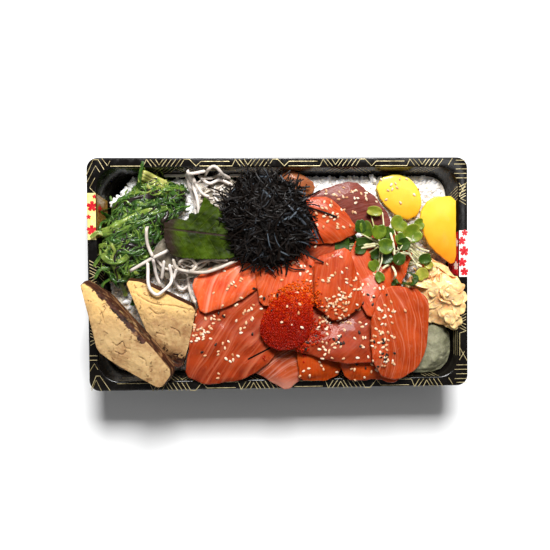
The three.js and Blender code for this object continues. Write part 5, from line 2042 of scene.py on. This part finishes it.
    def build(self, packed: Form) -> Object:
        """Makes the heap.

        Args:
            packed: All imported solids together, on which the heap's fringe lies.

        Returns:
            The heap.
        """
        finish = TintedFood("wet_seaweed", self.scale, roughness=0.36, wet=0.3, vein=0.14, mottle=0.12).material()
        slab = Slab("seaweed_salad", spokes=220, rings=50, rounding=2.5, clearing=3, evening=3)
        slab.drawn_in(4)
        core = slab.build("seaweed_mass", finish, lambda x, y, inset: 0.8 * waves(x, y, 6.0, 95) - 1.6,
                          lambda p: {"tint": 0.34 + 0.08 * waves(p[:, 0], p[:, 1], 9.0, 96)}, (3.0, 1.0))
        ribbons = Strands("seaweed_strips", 2.5, 0.5, sides=6)
        threads = Strands("seaweed_threads", 0.95, 0.75, sides=5)
        draw = random.Random(self.seed)
        for placed, (x, y, _) in enumerate(slab.form.spots(draw, self.strips + self.threads)):
            self.frill(ribbons if placed < self.strips else threads, slab.form, draw, x, y)
        for x, y, reach, number in self.fringe:
            for _ in range(number):
                spot = (draw.gauss(x, reach / 2), draw.gauss(y, reach / 2))
                self.frill(draw.choice((ribbons, threads, threads)), packed, draw, *spot)
        for route, girth, tint in self.stalks:
            self.stalk(ribbons, slab.form, route, girth, tint)
        whole = joined("seaweed_heap", [core, ribbons.build(finish), threads.build(finish)])
        return hand_over(whole, "seaweed", "seaweed_salad")


@dataclass
class DaikonThreads:
    """Long threads of white radish, faintly lilac, in loops over a low tangle."""

    diameter: float = 1.9
    fine: float = 1.3
    extra: int = 260
    seed: int = 17
    routes: tuple[Route, ...] = (
        ((-87, 1), (-80, 5), (-73, 9), (-65, 13), (-57, 18)),
        ((-53, 61), (-50, 52), (-47, 43), (-46, 33)),
        ((-66, 24), (-69, 19), (-70, 13)),
        ((-75, 29), (-75, 18), (-72, 10)),
        ((-75, 7), (-74, -6), (-70, -11), (-66, -9), (-62, -4), (-63, 6)),
        ((-72, 9), (-71, 0), (-69, -6)),
        ((-66, 8), (-67, 2), (-68, -3)),
        ((-61, 9), (-58, 3), (-45, 1), (-36, 3), (-24, 8)),
        ((-58, 5), (-56, 8), (-51, 9), (-48, 5), (-50, 2)),
        ((-51, 4), (-42, 8), (-29, 8)),
        ((-59, 3), (-61, -4), (-57, -9), (-53, -7)),
        ((-53, -2), (-52, -10), (-48, -16)),
        ((-43, 57), (-37, 61), (-31, 55)),
        ((-47, 57), (-40, 56), (-34, 57), (-28, 55)),
        ((-67, 57), (-59, 58), (-50, 57), (-42, 58.5)),
        ((-54, 58), (-52, 50), (-49, 42), (-48, 34)),
        ((-51, 59), (-48, 52), (-44, 46), (-40, 44)),
        ((-29, 58), (-21, 57), (-13, 54)),
        ((-62, 5), (-55, 1), (-46, 4), (-40, 8), (-33, 6)),
        ((-57, 31), (-51, 28), (-50, 34)),
        ((-45, 55), (-40, 52), (-34, 54), (-27, 51)),
        ((-73, 27), (-71, 20), (-66, 15)),
    )

    def build(self) -> Object:
        """Makes the threads."""
        finish = TintedFood(
            "radish_threads", ((0.0, 0x7E7464), (0.5, 0xB9AC9C), (1.0, 0xE2D8D0)),
            roughness=0.42, wet=0.2, vein=0.06, glow=0.5, glow_tint=(1.0, 0.9, 0.85), mottle=0.12,
        ).material()
        slab = Slab("daikon_strands", spokes=200, rings=44, rounding=2.0, clearing=4, evening=3)
        slab.drawn_in(9)
        # The mass under the threads takes the darkest, grey tint as painted shade deep in the tangle.
        core = slab.build("radish_mass", finish, lambda x, y, inset: -2.4 + 0.4 * waves(x, y, 5.0, 97),
                          tinted(0.05), (2.4, 0.6))
        threads = Strands("radish_strands", self.diameter, self.diameter, sides=10)
        thin = Strands("radish_shreds", self.fine, self.fine, sides=8)
        draw = random.Random(self.seed)
        for route in self.routes:
            path = lay_along(slab.form, curve_through(route, 0.9), 0.1 * self.diameter, 5)
            threads.add(path, 1.0, (0, 0, 1), draw.uniform(0.6, 1.0))
        low, high = slab.form.low, slab.form.high
        for _ in range(self.extra):
            x, y = draw.uniform(low[0], high[0]), draw.uniform(low[1], high[1])
            flat = bowed(x, y, draw.uniform(0, math.pi), draw.uniform(3, 9), draw.uniform(-4, 4))
            if all(slab.form.top(a, b) is not None for a, b in flat[::3]):
                ground = slab.top.read(flat[:, 0], flat[:, 1])
                lift = -0.5 * self.diameter - draw.uniform(0.0, 1.4)
                path = np.column_stack([flat, evened(ground, 5) + lift])
                thin.add(path, draw.uniform(0.8, 1.15), (0, 0, 1), draw.uniform(0.45, 1.0))
        whole = joined("radish_thread_heap", [core, threads.build(finish), thin.build(finish)])
        return hand_over(whole, "daikon", "daikon_strands")


@dataclass(frozen=True)
class LeafGreen:
    """A dark green leaf with fine veins, soft, slightly hairy and flushed purple at its stem."""

    light: int = 0x3E5204
    dark: int = 0x1C2800
    vein: int = 0x52600E
    purple: int = 0x2E1A1C

    def material(self) -> Material:
        """Builds the finish from the leaf's own place attribute: along and across its midrib."""
        s = Shader("perilla_leaf")
        place = s.attribute("blade", "Vector")
        cloud = s.noise(s.spot(), 10.0, 3.0)
        base = s.ramp(cloud, [(0.35, self.dark), (0.62, self.light)])
        across = s.maths("ABSOLUTE", s.part(place, 1))
        slanted = s.maths("SUBTRACT", s.part(place, 0), s.maths("MULTIPLY", across, 0.75))
        beat = s.maths("PINGPONG", slanted, 2.9)
        ribs = s.window(beat, 0.0, 0.3, 0.5, 0.0)
        midrib = s.window(across, 0.3, 0.8, 0.85, 0.0)
        net = s.cells(s.spot(), 1.5)
        height = s.maths("SUBTRACT", s.maths("MULTIPLY", net, 0.5), s.maths("MAXIMUM", ribs, midrib))
        wavering = s.maths("ADD", s.part(place, 0), s.window(cloud, 0.2, 0.8, -4.0, 4.0))
        stem_end = s.window(wavering, 3.0, 12.0, 0.8, 0.0)
        green = s.blend(ribs, base, rgb(self.vein))
        return s.dress({
            "Base Color": s.blend(s.maths("MAXIMUM", midrib, stem_end), green, rgb(self.purple)),
            "Roughness": s.window(cloud, 0.3, 0.7, 0.5, 0.65), "Normal": s.bump(height, 0.3),
            "Specular IOR Level": 0.1, **translucent(0.15, 0.8, (0.5, 1.0, 0.2)),
        })


@dataclass
class PerillaLeaf:
    """A broad perilla leaf with one side lobe and a toothed edge, draped under the shreds."""

    teeth: int = 40
    tooth: float = 0.7
    stem: tuple[float, float] = (-65.0, 26.0)
    tip: tuple[float, float] = (-22.0, 20.5)
    outline: Route = (
        (-66, 29), (-60, 31.6), (-53, 31), (-51, 34.8), (-47, 34.4), (-45.2, 37.5), (-42.4, 43.4), (-38.5, 40.2),
        (-32, 35.5), (-20, 24), (-22, 12), (-29, 8.6), (-39, 8.2), (-50, 8.6), (-61, 10.8), (-65.5, 19.6),
    )

    def blade(self, points: np.ndarray) -> dict[str, np.ndarray]:
        """Gives each point's place along and across the midrib."""
        start, way = np.array(self.stem), np.array(self.tip) - np.array(self.stem)
        way = way / np.linalg.norm(way)
        off = points[:, :2] - start
        across = off @ np.array([-way[1], way[0]])
        return {"blade": np.column_stack([off @ way, across, np.zeros(len(points))])}

    def crinkle(self, x: np.ndarray, y: np.ndarray, inset: np.ndarray) -> np.ndarray:
        """Gives the leaf's waves."""
        return 0.4 * waves(x, y, 11.0, 101) + 0.2 * waves(x, y, 4.0, 102)

    def build(self) -> Object:
        """Makes the leaf."""
        slab = Slab("shiso_leaf", spokes=self.teeth * 8, rings=36, rounding=0.4, clearing=1, evening=2)
        slab.outlined(self.outline)
        slab.reaches = slab.reaches - self.tooth * (np.arange(slab.spokes) % 8) / 8
        obj = slab.build("perilla_leaf", LeafGreen().material(), self.crinkle, self.blade)
        return hand_over(obj, "shiso", "shiso_leaf")


# ---------------------------------------------------------------- shredded seaweed sheet


@dataclass(frozen=True)
class ToastedSheet:
    """Toasted seaweed sheet: brown-black, with gloss on its flat sides and a cool grey glint colour, a painted glint,
    at the top of its scale.
    """

    name: str = "toasted_sheet"
    dark: int = 0x050302
    warm: int = 0x160E09
    glint: int = 0x4A525A
    rough: tuple[float, float] = (0.45, 0.7)
    gloss: float = 0.12

    def material(self) -> Material:
        """Builds the finish."""
        s = Shader(self.name)
        grain = s.noise(s.spot(), 0.8, 4.0)
        cloud = s.noise(s.spot(), 5.0, 2.0)
        tone = s.mixed(s.attribute("tint"), 0.6, cloud, 0.4)
        return s.dress({
            "Base Color": s.ramp(tone, [(0.3, self.dark), (0.75, self.warm), (1.0, self.glint)]),
            "Roughness": s.window(grain, 0.3, 0.7, *self.rough), "Normal": s.bump(grain, 0.06),
            "Specular IOR Level": self.gloss, "Coat Weight": 0.05, "Coat Roughness": 0.2,
        })


@dataclass
class SeaweedShreds:
    """A springy mound of fine dark shreds, a few in a painted glint colour, with two broader glossy strips across it,
    grey-blue as a painted reflection.
    """

    width: float = 0.95
    thickness: float = 0.2
    broad: float = 1.7
    glints: float = 0.035
    count: int = 1150
    seed: int = 23
    middle: tuple[float, float] = (-7.5, 31.0)
    spread: tuple[float, float] = (24.5, 26.5)
    tails: tuple[Route, ...] = (
        ((4, 44), (16, 34), (25, 17)),
        ((5, 45), (15, 36), (22, 24)),
        ((8, 40), (22, 36), (33, 32)),
        ((5, 18), (14, 21), (22, 24)),
        ((4, 17), (14, 11), (24, 6)),
        ((2, 14), (4, 6), (3, -1)),
        ((-3, 10), (6, 3), (14, 2)),
        ((-41, 50), (-32, 46), (-22, 40)),
        ((0, 46), (10, 49), (18, 50)),
        ((6, 42), (16, 44), (24, 48)),
        ((-7, 50), (-3, 57), (1, 61)),
        ((-1, 12), (-4, 5), (-9, 1)),
        ((5, 30), (12, 24), (14, 12)),
        ((-26, 12), (-20, 6), (-13, 3)),
    )
    strips: tuple[Route, ...] = (
        ((2, 41), (9, 33), (16, 25), (21, 17)),
        ((5, 43), (12, 35), (18, 27), (22, 19)),
        ((-42, 46), (-37, 44), (-31, 41)),
    )
    stray: Route = ((-19, -48.5), (-12, -45), (-5, -41.5))

    def shred(self, heap: Strands, slab: Slab, draw: random.Random, x: float, y: float) -> None:
        """Adds one shred about a spot, curled and tipped at random."""
        turn, tip = draw.uniform(0, TURN), draw.gauss(0, 0.26)
        reach, bend = draw.uniform(3, 9), draw.uniform(-0.7, 0.7)
        steps = 9
        along = np.linspace(-1, 1, steps)
        heading = turn + bend * along
        step = 2 * reach / (steps - 1)
        path = np.column_stack([np.cumsum(np.cos(heading)), np.cumsum(np.sin(heading)), along * math.sin(tip)]) * step
        path -= path[steps // 2]
        path[:, 2] -= 0.05 * (along * reach) ** 2 * draw.uniform(0, 0.6)
        path += (x, y, float(slab.top.read(x, y)) + draw.uniform(-1.2, 0.9))
        floor = slab.top.read(path[:, 0], path[:, 1]) - 1.6
        path[:, 2] = np.clip(path[:, 2], floor, float(slab.form.high[2]) - 0.3)
        roll = draw.uniform(-1.3, 1.3) + draw.uniform(-0.6, 0.6) * along
        facing = np.column_stack([-np.sin(heading) * np.sin(roll), np.cos(heading) * np.sin(roll), np.cos(roll)])
        # A few shreds take the glint colour, a painted glint.
        tint = 1.5 if draw.random() < self.glints else draw.random()
        heap.add(path, draw.uniform(0.6, 1.15), facing, tint, closed_ends=False)

    def loose(self, heap: Strands, slab: Slab, draw: random.Random) -> None:
        """Adds the long shreds that stick out of the mound."""
        for route in self.tails:
            path = lay_along(slab.form, curve_through(route, 1.2), -0.1, 4)
            roll = draw.uniform(-0.5, 0.5)
            heap.add(path, draw.uniform(0.8, 1.2), (math.sin(roll), 0, math.cos(roll)), 0.4, closed_ends=False)

    def build(self, beneath: Form) -> Object:
        """Makes the mound.

        Args:
            beneath: What the loose shreds lie on.

        Returns:
            The mound.
        """
        finish = ToastedSheet().material()
        slab = Slab("nori_shreds", spokes=160, rings=34, rounding=2.5, clearing=4, evening=4)
        slab.drawn_in(7)
        core = slab.build("shred_mass", finish, lambda x, y, inset: -2.4 + 0.6 * waves(x, y, 6.0, 103),
                          tinted(0.1), (2.5, 1.0))
        heap = Strands("shreds", self.width, self.thickness, sides=4, smooth=False)
        draw = random.Random(self.seed)
        for _ in range(self.count):
            angle, away = draw.uniform(0, TURN), math.sqrt(draw.random())
            x = self.middle[0] + self.spread[0] * away * math.cos(angle)
            y = self.middle[1] + self.spread[1] * away * math.sin(angle)
            if slab.form.top(x, y) is not None:
                self.shred(heap, slab, draw, x, y)
        self.loose(heap, slab, draw)
        path = lay_along(beneath, curve_through(self.stray, 1.2), 0.25, 3)
        heap.add(path, 1.1, (0.2, -0.3, 1), 0.3, closed_ends=False)
        # The broad strips are grey-blue as a painted reflection on the dark sheet.
        cool = ToastedSheet("glossy_sheet", 0x23262C, 0x59616B, 0x8A929C, (0.3, 0.5), 0.6).material()
        strips = Strands("broad_shreds", self.broad, 0.25, sides=6)
        for route in self.strips:
            path = lay_along(slab.form, curve_through(route, 1.0), 0.5, 5)
            along = np.linspace(0, 1, len(path))
            facing = np.column_stack([0.5 * np.sin(along * 7), 0.3 + 0 * along, 1 + 0 * along])
            strips.add(path, 0.6 + 0.4 * np.sin(np.pi * along), facing, draw.uniform(0.3, 0.9))
        whole = joined("seaweed_shred_mound", [core, heap.build(finish), strips.build(cool)])
        return hand_over(whole, "nori", "nori_shreds")


# ---------------------------------------------------------------- roe


@dataclass(frozen=True)
class RoeSkin:
    """Tiny fish eggs, clear red to orange, each with a bright point of light."""

    deep: int = 0x840C00
    red: int = 0xA41C00
    orange: int = 0xDC560C

    def material(self) -> Material:
        """Builds the finish."""
        s = Shader("fish_roe")
        return s.dress({
            "Base Color": s.ramp(s.attribute("tint"), [(0.1, self.deep), (0.5, self.red), (0.95, self.orange)]),
            "Roughness": s.window(s.noise(s.spot(), 0.8, 2.0), 0.3, 0.7, 0.14, 0.26),
            "Normal": s.bump(s.noise(s.spot(), 0.5, 1.0), 0.02), "IOR": 1.36, "Specular IOR Level": 0.22,
            "Coat Weight": 0.08, "Coat Roughness": 0.06, **translucent(0.5, 1.2, (1.0, 0.2, 0.04)),
        })


@dataclass
class RoeMound:
    """A low mound of roe that thins out over the fish around it."""

    egg: float = 1.15
    spacing: float = 0.95
    stray: int = 950
    stray_reach: float = 4.4
    seed: int = 31

    def tint(self, y: float, draw: random.Random) -> float:
        """Picks an egg's colour, more orange towards the back as painted light and deeper red towards the front as
        painted shade.
        """
        # Painted light towards the back, painted shade towards the front.
        upper = float(np.clip((y + 30) / 24, 0, 1))
        return float(np.clip(0.2 + 0.55 * upper + draw.gauss(0, 0.15), 0, 1))

    def strays(self, eggs: Grains, slab: Slab, beneath: Form, draw: random.Random) -> None:
        """Drops loose eggs round the mound, on the fish beside it."""
        for _ in range(self.stray):
            spoke = draw.randrange(slab.spokes)
            away = slab.reaches[spoke] + abs(draw.gauss(0, self.stray_reach)) - 0.4
            x = slab.centre[0] + away * math.cos(slab.angles[spoke])
            y = slab.centre[1] + away * math.sin(slab.angles[spoke])
            z = beneath.top(x, y)
            if z is not None and z > slab.form.low[2] - 2 and slab.form.top(x, y) is None:
                eggs.add((x, y, z + 0.3 * self.egg), (0, 0, 0), self.tint(y, draw) + 0.2)

    def build(self, beneath: Form) -> Object:
        """Makes the mound, egg by egg over a core.

        Args:
            beneath: The fish that the loose eggs lie on.

        Returns:
            The mound.
        """
        finish = RoeSkin().material()
        slab = Slab("roe_mound", spokes=120, rings=26, rounding=1.6, clearing=1, evening=2)
        core = slab.build("roe_mass", finish, lambda x, y, inset: np.full(np.shape(x), -0.7),
                          tinted(0.3))
        eggs = Grains("roe_eggs", (self.egg,) * 3, variation=0.14, seed=self.seed)
        draw = random.Random(self.seed)
        low, high = slab.form.low, slab.form.high
        row = 0
        y = float(low[1])
        while y < high[1] + 1:
            x = float(low[0]) + (row % 2) * self.spacing / 2
            while x < high[0] + 1:
                px, py = x + draw.uniform(-0.2, 0.2), y + draw.uniform(-0.2, 0.2)
                z = slab.form.top(px, py)
                if z is not None:
                    eggs.add((px, py, z - 0.35 + draw.uniform(-0.25, 0.3)), (0, 0, 0), self.tint(py, draw))
                x += self.spacing
            y += self.spacing * 0.86
            row += 1
        self.strays(eggs, slab, beneath, draw)
        whole = joined("roe", [core, eggs.build(finish)])
        return hand_over(whole, "roe", "roe_mound")


# ---------------------------------------------------------------- sprouts


@dataclass(frozen=True)
class Sprout:
    """One seed leaf: where its foot is, its heading in degrees, its length and width, and its tint."""

    foot: tuple[float, float]
    heading: float
    length: float
    width: float
    tint: float
    lift: float = 0.12


@dataclass
class RadishSprouts:
    """A tuft of radish sprouts: thin pale stems with heart-shaped seed leaves."""

    thickness: float = 0.42
    stem: float = 1.0
    seed: int = 41
    roots: tuple[tuple[float, float], ...] = ((66, 13), (72, 11), (58, 16), (76, 14))
    leaves: tuple[Sprout, ...] = (
        Sprout((66, 25), 42, 8.8, 11.0, 0.62, 0.2), Sprout((71, 20), 25, 12.0, 11.0, 0.58, 0.15),
        Sprout((77.5, 26.5), 25, 6.5, 6.9, 0.66), Sprout((56, 19), 92, 9.2, 9.2, 0.5, 0.2),
        Sprout((52, 20.5), 115, 10.8, 7.2, 0.45), Sprout((46.5, 22.5), 95, 8.8, 6.7, 0.18),
        Sprout((41, 16.5), 178, 9.8, 10.8, 0.15), Sprout((46, 19), 165, 10.0, 6.7, 0.12),
        Sprout((55, 17), 176, 12.5, 6.9, 0.2), Sprout((65, 15), 180, 10.2, 9.2, 0.42, 0.2),
        Sprout((67, 14.5), 30, 8.0, 7.9, 0.2), Sprout((64.5, 11), 212, 9.0, 7.9, 0.15),
        Sprout((66, 4.5), 62, 8.0, 7.2, 0.2), Sprout((43.5, 7), 160, 6.2, 5.4, 0.66),
        Sprout((55.5, 0.5), 112, 8.0, 6.4, 0.5), Sprout((55.5, 0.5), -68, 7.0, 5.4, 0.45),
        Sprout((80, 2), -58, 7.8, 7.7, 0.8), Sprout((84, 6), -40, 5.8, 5.1, 0.85),
        Sprout((80, 7), 15, 8.0, 6.4, 0.3), Sprout((60, 35), 172, 10.0, 5.9, 0.75, 0.0),
        Sprout((52.5, 41), 110, 7.5, 6.4, 0.5, 0.0), Sprout((60, 20), 60, 7.5, 7.2, 0.3),
        Sprout((59, 12), 200, 8.2, 5.9, 0.1), Sprout((70, 16), 120, 7.5, 6.7, 0.4),
        Sprout((50, 14), 190, 7.8, 5.6, 0.16), Sprout((73, 7), -20, 6.2, 5.4, 0.35),
    )
    bare_stems: tuple[Route, ...] = (
        ((54.6, 16.6), (47, 15.4), (40, 15.2)), ((54.6, 15.4), (47, 14.2), (40, 13.8)),
        ((70, 12), (78, 9), (88, 4)), ((71, 14), (80, 12), (90, 6)), ((73, 16), (79, 13), (85, 8)),
        ((74, 2.4), (79, 4.4), (83.2, 5.6)), ((57.8, 2), (60, 3.6), (63, 4.4)), ((64.4, 4), (65, 0), (64.4, -4.4)),
        ((72, 17), (80, 13), (86, 10)), ((73, 13), (80, 9), (87, 7)), ((74, 19), (82, 12), (92, 3)),
        ((75, 10), (82, 6), (89, 2)), ((70, 8), (76, 6), (82, 3)), ((72, 20), (79, 17), (86, 12)),
        ((60.3, 23.4), (63, 25.4), (65.2, 26.6)), ((65, 26), (67.4, 24.6), (69.2, 22.5)),
        ((63.4, 23), (64.6, 16), (65.2, 9.9)), ((68, 11), (74, 10.6), (80, 9)), ((66, 9), (72, 6), (76, 1.6)),
    )
    folded: Route = ((64.2, -7.8), (66.6, -4.9), (69.8, -6.4), (73.3, -6.5), (76.4, -3.8), (75.6, 0.2))

    def height(self, own: Form, beneath: Form, x: float, y: float) -> float:
        """Gives how high the tuft or what lies under it reaches over a spot."""
        return max(z for z in (own.top(x, y), beneath.top(x, y), 0.0) if z is not None)

    def stem_to(self, stalks: Strands, start: Place, end: Place, ceiling: float, draw: random.Random) -> None:
        """Runs one stem in a low arch between two places."""
        swing = draw.uniform(-1.2, 1.2)
        middle = ((start[0] + end[0]) / 2 + swing, (start[1] + end[1]) / 2 - swing)
        flat = curve_through([start[:2], middle, end[:2]], 0.9)
        along = np.linspace(0, 1, len(flat))
        z = start[2] + (end[2] - start[2]) * along + 0.8 * np.sin(np.pi * along)
        path = np.column_stack([flat, np.minimum(z, ceiling)])
        stalks.add(path, np.linspace(1.1, 0.75, len(path)), (0, 0, 1), draw.random())

    def build(self, beneath: Form) -> Object:
        """Makes the tuft.

        Args:
            beneath: What the leaves lie over.

        Returns:
            The tuft.
        """
        green = TintedFood(
            "sprout_leaves", ((0.0, 0x182C04), (0.35, 0x34500E), (0.65, 0x667A14), (1.0, 0xA49C38)),
            roughness=0.45, wet=0.1, vein=0.12, glow=0.25, mottle=0.12, shine=0.25,
        ).material()
        pale = TintedFood(
            "sprout_stems", ((0.0, 0xA9A66E), (1.0, 0xE2DCB6)), roughness=0.42, wet=0.15, vein=0.04,
            glow=0.4, glow_tint=(1.0, 1.0, 0.6), mottle=0.2,
        ).material()
        own = Form.of("radish_sprouts")
        draw = random.Random(self.seed)
        ceiling = float(own.high[2]) - 0.3
        stalks = Strands("stems", self.stem, self.stem, sides=8)
        blades = Petals()
        for leaf in self.leaves:
            turn = math.radians(leaf.heading)
            x = leaf.foot[0] + 0.5 * leaf.length * math.cos(turn)
            y = leaf.foot[1] + 0.5 * leaf.length * math.sin(turn)
            z = min(self.height(own, beneath, x, y) + draw.uniform(0.3, 0.9), ceiling - 1.2)
            place = (*leaf.foot, z)
            turns = (turn, leaf.lift + draw.uniform(-0.08, 0.08), draw.uniform(-0.3, 0.3))
            size = (leaf.length, leaf.width, self.thickness)
            blades.add(place, size, turns, leaf.tint, 0.16, 0.14, 0.2, ceiling)
            root = min(self.roots, key=lambda r: math.hypot(r[0] - leaf.foot[0], r[1] - leaf.foot[1]))
            start = (root[0] + draw.uniform(-2, 2), root[1] + draw.uniform(-2, 2))
            low = self.height(own, beneath, *start) - 0.6
            self.stem_to(stalks, (*start, min(low, ceiling)), place, ceiling, draw)
        for route in self.bare_stems:
            flat = curve_through(route, 0.9)
            heights = np.array([self.height(own, beneath, px, py) for px, py in flat])
            path = np.column_stack([flat, np.minimum(evened(heights, 8) + 0.9, ceiling)])
            stalks.add(path, 1.4, (0, 0, 1), draw.uniform(0.5, 1.0))
        crescent = Strands("folded_leaf", 3.8, 0.6, sides=10)
        flat = curve_through(self.folded, 0.7)
        heights = np.array([self.height(own, beneath, px, py) for px, py in flat])
        path = np.column_stack([flat, np.minimum(evened(heights, 6) + 0.7, ceiling - 0.4)])
        along = np.linspace(0, 1, len(path))
        facing = np.column_stack([0 * along, 0.5 + 0 * along, 1 + 0 * along])
        crescent.add(path, 0.5 + 0.5 * np.sin(np.pi * along) ** 0.5, facing, 0.22)
        parts = [blades.build("blades", green), stalks.build(pale), crescent.build(green)]
        whole = joined("radish_sprout_tuft", parts)
        return hand_over(whole, "sprouts", "radish_sprouts")


# ---------------------------------------------------------------- sesame


@dataclass
class Sesame:
    """White and black sesame seeds sprinkled over the fish."""

    size: tuple[float, float, float] = (2.2, 1.3, 0.8)
    sink: float = 0.12
    seed: int = 53
    white: tuple[tuple[tuple[float, float], float, int], ...] = (
        ((34, -18), 10, 36), ((29, -31), 12, 28), ((52, -38), 13, 34), ((58, -51), 8, 12), ((26, -43), 6, 12),
        ((-45, -32), 8, 30), ((-24, -24), 16, 22), ((32, -6), 13, 26), ((8, -4), 13, 14), ((30, 29), 11, 18),
        ((32, 42), 10, 20), ((46, 44), 8, 14), ((67, 50), 10, 12), ((18, -53), 12, 10), ((-34, -46), 12, 12),
        ((60, -20), 10, 14), ((50, -8), 12, 16), ((6, -27), 10, 6), ((-28, -4), 12, 8), ((45, -57), 8, 6),
    )
    black: tuple[tuple[tuple[float, float], float, int], ...] = (
        ((-15.6, -8.9), 1, 1), ((-9.8, -14.6), 1, 1), ((-3, -14), 3, 2), ((-6.4, -20.3), 1, 1),
        ((-15.6, -33.8), 1, 1), ((20, -35), 1, 1), ((14, -42), 3, 2), ((27.4, -28.7), 1, 1), ((33, -38.6), 4, 8),
        ((44, -33.8), 1, 1), ((45, -42), 1, 1), ((55.4, -37.7), 3, 3), ((57.6, -46.6), 3.5, 7), ((62.9, -45.5), 1, 1),
        ((51, -53), 4, 3), ((42.3, -51.7), 1, 1), ((51, -12), 4, 2), ((60, -12.4), 1, 1), ((46, -17.2), 1, 1),
        ((52.6, -18.9), 1, 1), ((42.3, -20.3), 1, 1), ((-40, -40), 6, 2), ((-33, -22), 5, 2), ((20, 12), 8, 2),
    )
    carriers: tuple[str, ...] = ("salmon", "tuna", "roe", "takuan")

    def seeds(self, name: str, patches: tuple, draw: random.Random, surface: Form) -> Grains:
        """Sprinkles seeds of one colour.

        Args:
            name: The object's name.
            patches: The middle, spread and number of seeds of each patch.
            draw: Where the random numbers come from.
            surface: The finished food that they fall on.

        Returns:
            The seeds.
        """
        grains = Grains(name, self.size, taper=-0.55, variation=0.14, seed=self.seed)
        for (mx, my), spread, count in patches:
            for _ in range(count):
                for _ in range(6):
                    touch = surface.touch(draw.gauss(mx, spread / 2), draw.gauss(my, spread / 2))
                    if touch and touch[2].startswith(self.carriers) and touch[1].z > 0.55:
                        break
                else:
                    continue
                place, normal, _ = touch
                spot = place + normal * (self.size[2] / 2 - self.sink)
                spun = Euler((0, draw.uniform(-0.25, 0.25), draw.uniform(0, TURN))).to_matrix()
                lie = UP.rotation_difference(normal).to_matrix() @ spun
                grains.add(tuple(spot), tuple(lie.to_euler()), draw.random())
        return grains

    def build(self, surface: Form) -> None:
        """Makes all the seeds."""
        draw = random.Random(self.seed)
        pale = TintedFood(
            "white_sesame", ((0.0, 0xC08558), (0.5, 0xE0B48C), (1.0, 0xF2DCC4)), roughness=0.5, wet=0.1,
            vein=0.04, glow=0.2, glow_tint=(1.0, 0.8, 0.5), mottle=0.15,
        ).material()
        dark = TintedFood(
            "black_sesame", ((0.0, 0x0B0806), (1.0, 0x2A1C14)), roughness=0.5, wet=0.1, vein=0.05, glow=0.0,
            mottle=0.3,
        ).material()
        kinds = (("white_sesame_seeds", self.white, pale), ("black_sesame_seeds", self.black, dark))
        for name, patches, finish in kinds:
            hand_over(self.seeds(name, patches, draw, surface).build(finish), "salmon")


# ---------------------------------------------------------------- studio


@dataclass(frozen=True)
class PaleFloor:
    """A plain, pale, matt floor."""

    colour: int = 0xF4F4F4

    def material(self) -> Material:
        """Builds the finish."""
        s = Shader("pale_floor")
        cloud = s.noise(s.spot(), 300.0, 1.0)
        return s.dress({"Base Color": s.ramp(cloud, [(0.0, self.colour), (1.0, self.colour)]), "Roughness": 0.9})


@dataclass
class Studio:
    """The floor, the camera above the tray and soft lights."""

    lens: float = 47.9
    sensor: float = 36.0
    place: tuple[float, float, float] = (-23.1, 9.3, 458.0)
    tilt: tuple[float, float, float] = (-1.37, -2.76, -0.47)
    floor: float = 3000.0

    def camera(self) -> None:
        """Sets the camera at the photograph's viewing angle."""
        data = bpy.data.cameras.new("camera")
        data.lens, data.sensor_width, data.clip_start = self.lens, self.sensor, 0.01
        camera = bpy.data.objects.new("camera", data)
        camera.location = Vector(self.place) * MM
        camera.rotation_euler = [math.radians(angle) for angle in self.tilt]
        bpy.context.collection.objects.link(camera)
        bpy.context.scene.camera = camera

    def lamp(self, name: str, place: Place, size: tuple[float, float], power: float, target: Place) -> None:
        """Adds a soft lamp.

        Args:
            name: Its name.
            place: Where it hangs, in millimetres.
            size: How wide and high it is, in millimetres.
            power: Its power in watts.
            target: What it faces, in millimetres.
        """
        data = bpy.data.lights.new(name, "AREA")
        data.shape, data.energy = "RECTANGLE", power
        data.size, data.size_y = size[0] * MM, size[1] * MM
        lamp = bpy.data.objects.new(name, data)
        lamp.location = Vector(place) * MM
        lamp.rotation_euler = (Vector(target) - Vector(place)).to_track_quat("-Z", "Y").to_euler()
        bpy.context.collection.objects.link(lamp)

    def build(self) -> None:
        """Sets up the floor, the camera, the lamps and the colours."""
        half = self.floor / 2
        corners = np.array([(-half, -half, 0), (half, -half, 0), (half, half, 0), (-half, half, 0)])
        floor = make_object("floor", corners, [[0, 1, 2, 3]], PaleFloor().material())
        floor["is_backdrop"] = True
        self.camera()
        middle = (0.0, 0.0, 0.0)
        self.lamp("key", (60.0, 820.0, 1040.0), (480.0, 400.0), 32.0, middle)
        self.lamp("fill", (-300.0, -700.0, 800.0), (700.0, 500.0), 1.1, middle)
        self.lamp("glint", (215.0, 128.0, 470.0), (190.0, 50.0), 0.12, (80.0, 66.0, 38.0))
        world = bpy.data.worlds.new("studio")
        world.use_nodes = True
        world.node_tree.nodes["Background"].inputs[0].default_value = (1, 1, 1, 1)
        world.node_tree.nodes["Background"].inputs[1].default_value = 0.1
        scene = bpy.context.scene
        scene.world = world
        scene.view_settings.view_transform = "Standard"
        scene.view_settings.look = "None"


# ---------------------------------------------------------------- the meal


def main() -> None:
    """Builds the tray, the food and the studio, in the order in which they are laid."""
    logging.basicConfig(level=logging.INFO, format="%(message)s")
    solid_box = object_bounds()
    packed = Form(list(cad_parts.values()))
    beneath = Form([obj for name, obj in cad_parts.items() if name != "radish_sprouts"])
    TakeawayTray().build()
    RiceBed().build(packed)
    pickles = Pickles().build(packed)
    SeaweedSalad().build(packed)
    Omelettes().build()
    slices = FishPlatter().build()
    DaikonThreads().build()
    PerillaLeaf().build()
    SeaweedShreds().build(Form(slices))
    roe = RoeMound().build(Form(slices))
    RadishSprouts().build(beneath)
    Sesame().build(Form([*slices, *pickles[:2], roe]))
    Studio().build()
    dressed_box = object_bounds()
    boxes = [[list(corner) for corner in box] for box in (solid_box, dressed_box)]


if __name__ == "__main__":
    main()
